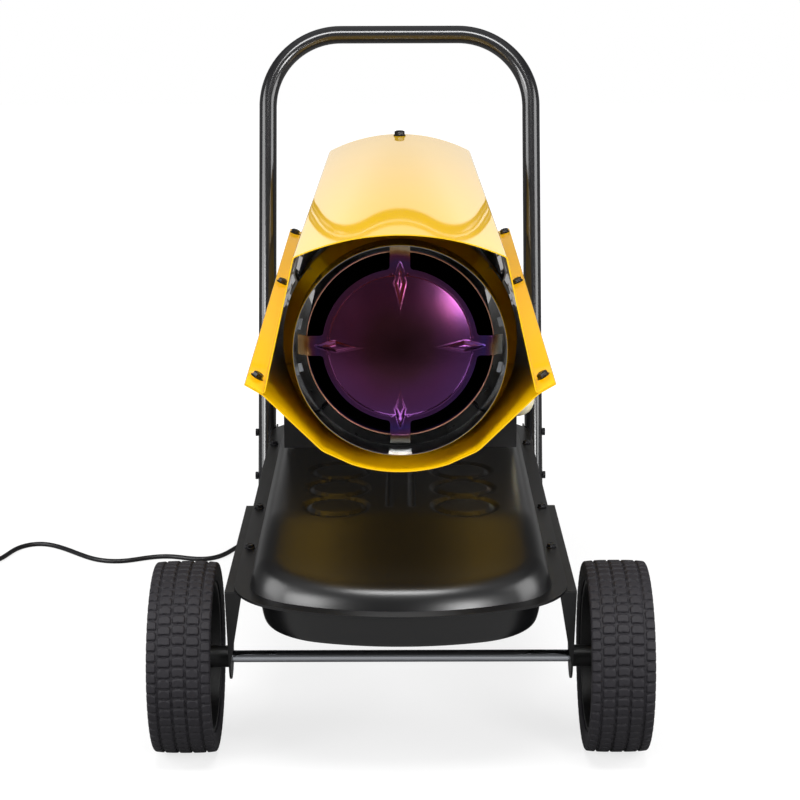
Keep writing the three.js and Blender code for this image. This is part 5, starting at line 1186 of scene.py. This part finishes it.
def tread_depth(x, angle):
    """Depth of the tread at a place across the tyre and an angle round it."""
    column = np.clip(np.searchsorted(COLUMN_EDGES, x) - 1, 0, 4)
    low, high = COLUMN_EDGES[column], COLUMN_EDGES[column + 1]
    half_width = (high - low) / 2 - GROOVE_HALF
    across = x - (low + high) / 2
    row = angle * TREAD_ROWS / (2 * math.pi) + COLUMN_SHIFT[column]
    row = row + ROW_WAVE * np.cos(across / half_width * math.pi / 2)
    along = (row - np.round(row)) * ROW_PITCH
    inside_x = np.abs(across) - half_width + BLOCK_ROUND
    inside_y = np.abs(along) - ROW_PITCH / 2 + GROOVE_HALF + BLOCK_ROUND
    distance = (np.hypot(np.maximum(inside_x, 0), np.maximum(inside_y, 0))
                + np.minimum(np.maximum(inside_x, inside_y), 0) - BLOCK_ROUND)
    return TREAD_DEPTH * smoothstep(distance, *GROOVE_SLOPE)


# %% Tyres
TREAD_HALF, CROWN_DROP = 0.0378, 0.0016
SHOULDER_W, SHOULDER_DROP = 0.0032, 0.0035
STEPS_PER_ROW = 12


def tyre_profile():
    """Across the tread and round the side walls, as x, radius and how much of the tread shows."""
    fine = [e + d for e in COLUMN_EDGES[1:-1] for d in np.linspace(-0.002, 0.002, 9)]
    x = np.unique(np.round(np.concatenate([np.linspace(-TREAD_HALF, TREAD_HALF, 49), fine]), 5))
    crown = WHEEL_R - CROWN_DROP * (np.abs(x) / TREAD_HALF) ** 3
    angle = np.linspace(0, math.pi / 2, 8)[1:]
    shoulder_x = TREAD_HALF + SHOULDER_W * np.sin(angle)
    shoulder_r = WHEEL_R - CROWN_DROP - SHOULDER_DROP * (1 - np.cos(angle))
    side_x = np.array([0.0409, 0.0402, 0.0402, 0.0396, 0.0385, 0.0385])
    side_r = np.array([0.1190, 0.1150, 0.1080, 0.1050, 0.1035, TYRE_BORE_R])
    right = np.stack([np.concatenate([shoulder_x, side_x]), np.concatenate([shoulder_r, side_r])])
    left = right[:, ::-1] * [[-1], [1]]
    bore = np.stack([np.linspace(0.0385, -0.0385, 6)[1:-1], np.full(4, TYRE_BORE_R)])
    around = np.concatenate([left, [x, crown], right, bore], axis=1)
    weight = smoothstep(around[1], WHEEL_R - 0.0075, WHEEL_R - 0.0045)
    return around[0], around[1], weight


def tyre(side):
    """The profile turned round the axle, with the tread's depth taken off its radius."""
    x, radius, weight = tyre_profile()
    count = TREAD_ROWS * STEPS_PER_ROW
    angle = (np.arange(count) * (2 * math.pi / count))[:, None]
    deep = radius - weight * tread_depth(x[None, :], angle)
    centre_x = {"left": -WHEEL_X, "right": WHEEL_X}[side]
    grid = at(centre_x + x + 0 * deep, deep * np.cos(angle), AXLE_Z + deep * np.sin(angle))
    quads = grid_quads(*grid.shape[:2], wrap_rows=True, wrap_columns=True)
    piece = build("tyre_tread_" + side, grid.reshape(-1, 3), quads, sharp=60)
    return dress(piece, "tyre_rubber", "tyre_" + side, body="wheel_" + side)


for side in ("left", "right"):
    tyre(side)
print("each tyre has", TREAD_ROWS, "rows of blocks,", round(ROW_PITCH * 1000, 1), "mm apart")

# %% [markdown]
# The rim is a moulded dish: a wide band under the tyre, a web in the middle, a hub that the axle
# goes through, and eight ribs that stiffen the web. The band, web and hub are one turned profile,
# and the ribs are thin slabs turned round the axle.

# %% Rims
RIM_R, RIM_HALF, WEB_HALF, HUB_R, RIM_RIBS = 0.1007, 0.036, 0.0025, 0.0145, 8
HUB_IN_X, HUB_OUT_X, BORE_R = -0.0570, 0.0215, 0.0083
RIM_SEGMENTS = 96
RIB_LOW, RIB_HIGH = (-0.022, -0.0017, HUB_R - 0.003), (0.016, 0.0017, 0.0955)
RIM_PROFILE = [
    (BORE_R, HUB_IN_X), (HUB_R - 0.001, HUB_IN_X), (HUB_R, HUB_IN_X + 0.001), (HUB_R, -0.006),
    (HUB_R + 0.004, -WEB_HALF), (0.0885, -WEB_HALF), (0.0915, -0.006), (0.0955, -RIM_HALF),
    (0.0975, -RIM_HALF - 0.0008), (RIM_R, -RIM_HALF), (RIM_R, RIM_HALF), (0.0975, RIM_HALF + 0.0008),
    (0.0955, RIM_HALF), (0.0915, 0.006), (0.0885, WEB_HALF), (HUB_R + 0.004, WEB_HALF),
    (HUB_R, 0.006), (HUB_R, HUB_OUT_X - 0.001), (HUB_R - 0.001, HUB_OUT_X), (BORE_R, HUB_OUT_X),
    (BORE_R, HUB_IN_X),
]


def rim(side):
    """The turned dish and its ribs, mirrored for the left side."""
    sign = {"left": -1, "right": 1}[side]
    profile = [(r, sign * x) for r, x in RIM_PROFILE]
    centre = np.array([sign * WHEEL_X, AXLE_Y, AXLE_Z])
    dish = turned(profile, "x", centre, RIM_SEGMENTS).reshape(-1, 3)
    quads = grid_quads(len(profile), RIM_SEGMENTS, wrap_columns=True)
    shapes = [(dish, facing_out(dish, quads))]
    for turn in 2 * math.pi * np.arange(RIM_RIBS) / RIM_RIBS:
        rib, faces = slab(RIB_LOW, RIB_HIGH)
        shapes.append((turned_about(rib * [sign, 1, 1], 0, turn) + centre, faces[:, ::sign]))
    piece = build("rim_dish_" + side, *gathered(shapes), weld=True)
    return dress(piece, "rim_plastic", "rim_" + side, body="wheel_" + side)


for side in ("left", "right"):
    rim(side)

# %% [markdown]
# ## Axle and end caps
# Turned from short profiles with a small chamfer on each edge, since a real edge is never sharp
# and the chamfer is what catches the light.

# %% Axle and caps
AXLE_R, AXLE_END = 0.008, axle_high.x
CHAMFER = 0.0012
axle_profile = [(0, -AXLE_END), (AXLE_R - CHAMFER, -AXLE_END), (AXLE_R, CHAMFER - AXLE_END),
                (AXLE_R, AXLE_END - CHAMFER), (AXLE_R - CHAMFER, AXLE_END), (0, AXLE_END)]
WHEEL_AXIS = (0, AXLE_Y, AXLE_Z)
dress(lathe("axle_bar", axle_profile, "x", WHEEL_AXIS, 64), "bright_steel", "axle")
for side, sign in (("left", -1), ("right", 1)):
    face = abs(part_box("axle_cap_" + side)[0 if sign < 0 else 1].x)
    base = face - 0.0157
    cap = [(BORE_R, base), (0.013, base), (0.013, face - 0.005), (0.0118, face - 0.0022),
           (0.0085, face - 0.0004), (0, face), (0, base + 0.0103), (BORE_R, base + 0.0103),
           (BORE_R, base)]
    dress(lathe("axle_end_cap_" + side, [(r, sign * x) for r, x in cap], "x", WHEEL_AXIS, 48),
          "handle_black", "axle_cap_" + side)

# %% [markdown]
# ## CAD nodes that keep their own shape
# Brackets, the control box, the motor and the fittings are already right in the CAD model. Each
# keeps its shape as it is, and takes the finish of its slot in the record. The handle's bolts take
# the oiled finish instead, and the parts in the flame take the sooty one.

# %% Finishes for the nodes that stay
for subpart in frame["record"]["subparts"]:
    kept = frame["nodes"][subpart["node"]]
    kept.data.materials.clear()
    bolted = subpart["node"].startswith("handle_bolt")
    sooty = subpart["node"] in ("burner_head", "nozzle", "electrode_left", "electrode_right")
    own = BOLT_BLACK if bolted else SOOTY_STEEL if sooty else FINISHES[subpart["material_slot"]]
    kept.data.materials.append(own)

# %% [markdown]
# ## Bolts
# The housing, tank and brackets are held by hexagon bolts with a flange under the head. One bolt
# is a small turned flange and a six-sided head with a domed top. It is made once, in its own
# frame, and laid at each place with its axis along the normal there.

# %% Bolt shape and places
def bolt_shape(width, tall):
    """Points and quads of a flange bolt's head, standing on z = 0, with its axis along z."""
    rounds = 12
    angle = np.arange(rounds) * (2 * math.pi / rounds)
    hexagon = 1 / np.cos((angle + math.pi / 6) % (math.pi / 3) - math.pi / 6)
    radius, z, six = np.array([
        (0, 0, 0), (0.68, 0, 0), (0.70, 0.12, 0), (0.60, 0.26, 0), (0.50, 0.30, 1),
        (0.50, 0.86, 1), (0.38, 1.0, 0), (0.22, 0.93, 0), (0, 0.93, 0),
    ]).T[:, :, None]
    r = radius * width * np.where(six > 0, hexagon, 1)
    grid = np.stack([r * np.cos(angle), r * np.sin(angle), z * tall + 0 * r], axis=-1)
    return grid.reshape(-1, 3), grid_quads(len(grid), rounds, wrap_columns=True)


def bolts(name, places, width, tall):
    """One piece with a bolt head at each (point, normal). The first axis of a head's own frame is
    at right angles to its normal."""
    shapes = []
    points, quads = bolt_shape(width, tall)
    for point, normal in places:
        n = np.array(normal, float) / np.linalg.norm(normal)
        u = np.cross(n, [0.31, 0.95, 0.05])
        u /= np.linalg.norm(u)
        shapes.append((points @ np.stack([u, np.cross(n, u), n]) + at(*point), quads))
    piece = build(name, *gathered(shapes), weld=True)
    return dress(piece, "plated_steel", material=BOLT_BLACK)


# %% Bolts along the seam of the housing, and at the top rear
SEAM_BOLTS_Y, REAR_BOLT_Y, SEAM_SHARE = (-0.119, 0.458, 0.872), 0.872, 0.54
seam_places = []
for y in SEAM_BOLTS_Y:
    share = (y - BOTTOM_FRONT_Y) / (HOUSING_REAR_Y - BOTTOM_FRONT_Y)
    fold, tip = section("fold", [share])[0], section("tip", [share])[0]
    middle = fold * (1 - SEAM_SHARE) + tip * SEAM_SHARE
    slope = (tip - fold) / np.linalg.norm(tip - fold)
    for sign in (-1, 1):
        seam_places.append(((sign * middle[0], y, middle[1]), (-sign * slope[1], 0, slope[0])))
bolts("housing_bolts", seam_places, width=0.0125, tall=0.0070)
top_place = ((0, REAR_BOLT_Y, SECTION_REAR["top"][1]), (0, 0, 1))
bolts("housing_top_bolt", [top_place], width=0.0150, tall=0.0085)

# %% Screws through the tank's flange
SCREW_X, SCREWS_Y = 0.2065, (0.110, 0.307, 0.682)
flange_places = [((sign * SCREW_X, y, flange_top), (0, 0, 1)) for sign in (-1, 1) for y in SCREWS_Y]
bolts("tank_flange_screws", flange_places, width=0.0105, tall=0.0055)

# %% [markdown]
# ## Floor
# A pale sweep under the heater. To the camera it glows, more so further out, which makes it white
# and still leaves the shadow under the heater. The object itself gets none of that light.

# %% Floor
GLOW_REACH, GLOW = (0.5, 2.2), (0.73, 1.0)
floor_mesh = bpy.data.meshes.new("floor")
FLOOR_HALF, FLOOR_FRONT = 9.0, -2.0
floor_mesh.from_pydata([(-FLOOR_HALF, FLOOR_FRONT, 0), (FLOOR_HALF, FLOOR_FRONT, 0),
                        (FLOOR_HALF, FLOOR_HALF, 0), (-FLOOR_HALF, FLOOR_HALF, 0)],
                       [], [(0, 1, 2, 3)])
floor = bpy.data.objects.new("floor", floor_mesh)
scene.collection.objects.link(floor)
paper = bpy.data.materials.new("white_paper")
paper.use_nodes = True
paper_tree = paper.node_tree
paper_shader = paper_tree.nodes["Principled BSDF"]
paper_shader.inputs["Base Color"].default_value = (0.25, 0.25, 0.25, 1)
paper_shader.inputs["Roughness"].default_value = 0.9
paper_shader.inputs["Specular IOR Level"].default_value = 0.1
seen = paper_tree.nodes.new("ShaderNodeLightPath").outputs["Is Camera Ray"]
spot = paper_tree.nodes.new("ShaderNodeTexCoord").outputs["Object"]
whiter = eased_range(paper_tree, length_of(paper_tree, spot), *GLOW_REACH, *GLOW)
glow = maths(paper_tree, "MULTIPLY", seen, whiter)
paper_shader.inputs["Emission Color"].default_value = (1, 1, 1, 1)
paper_tree.links.new(glow, paper_shader.inputs["Emission Strength"])
floor_mesh.materials.append(paper)
print("the floor is", 2 * FLOOR_HALF, "m wide")
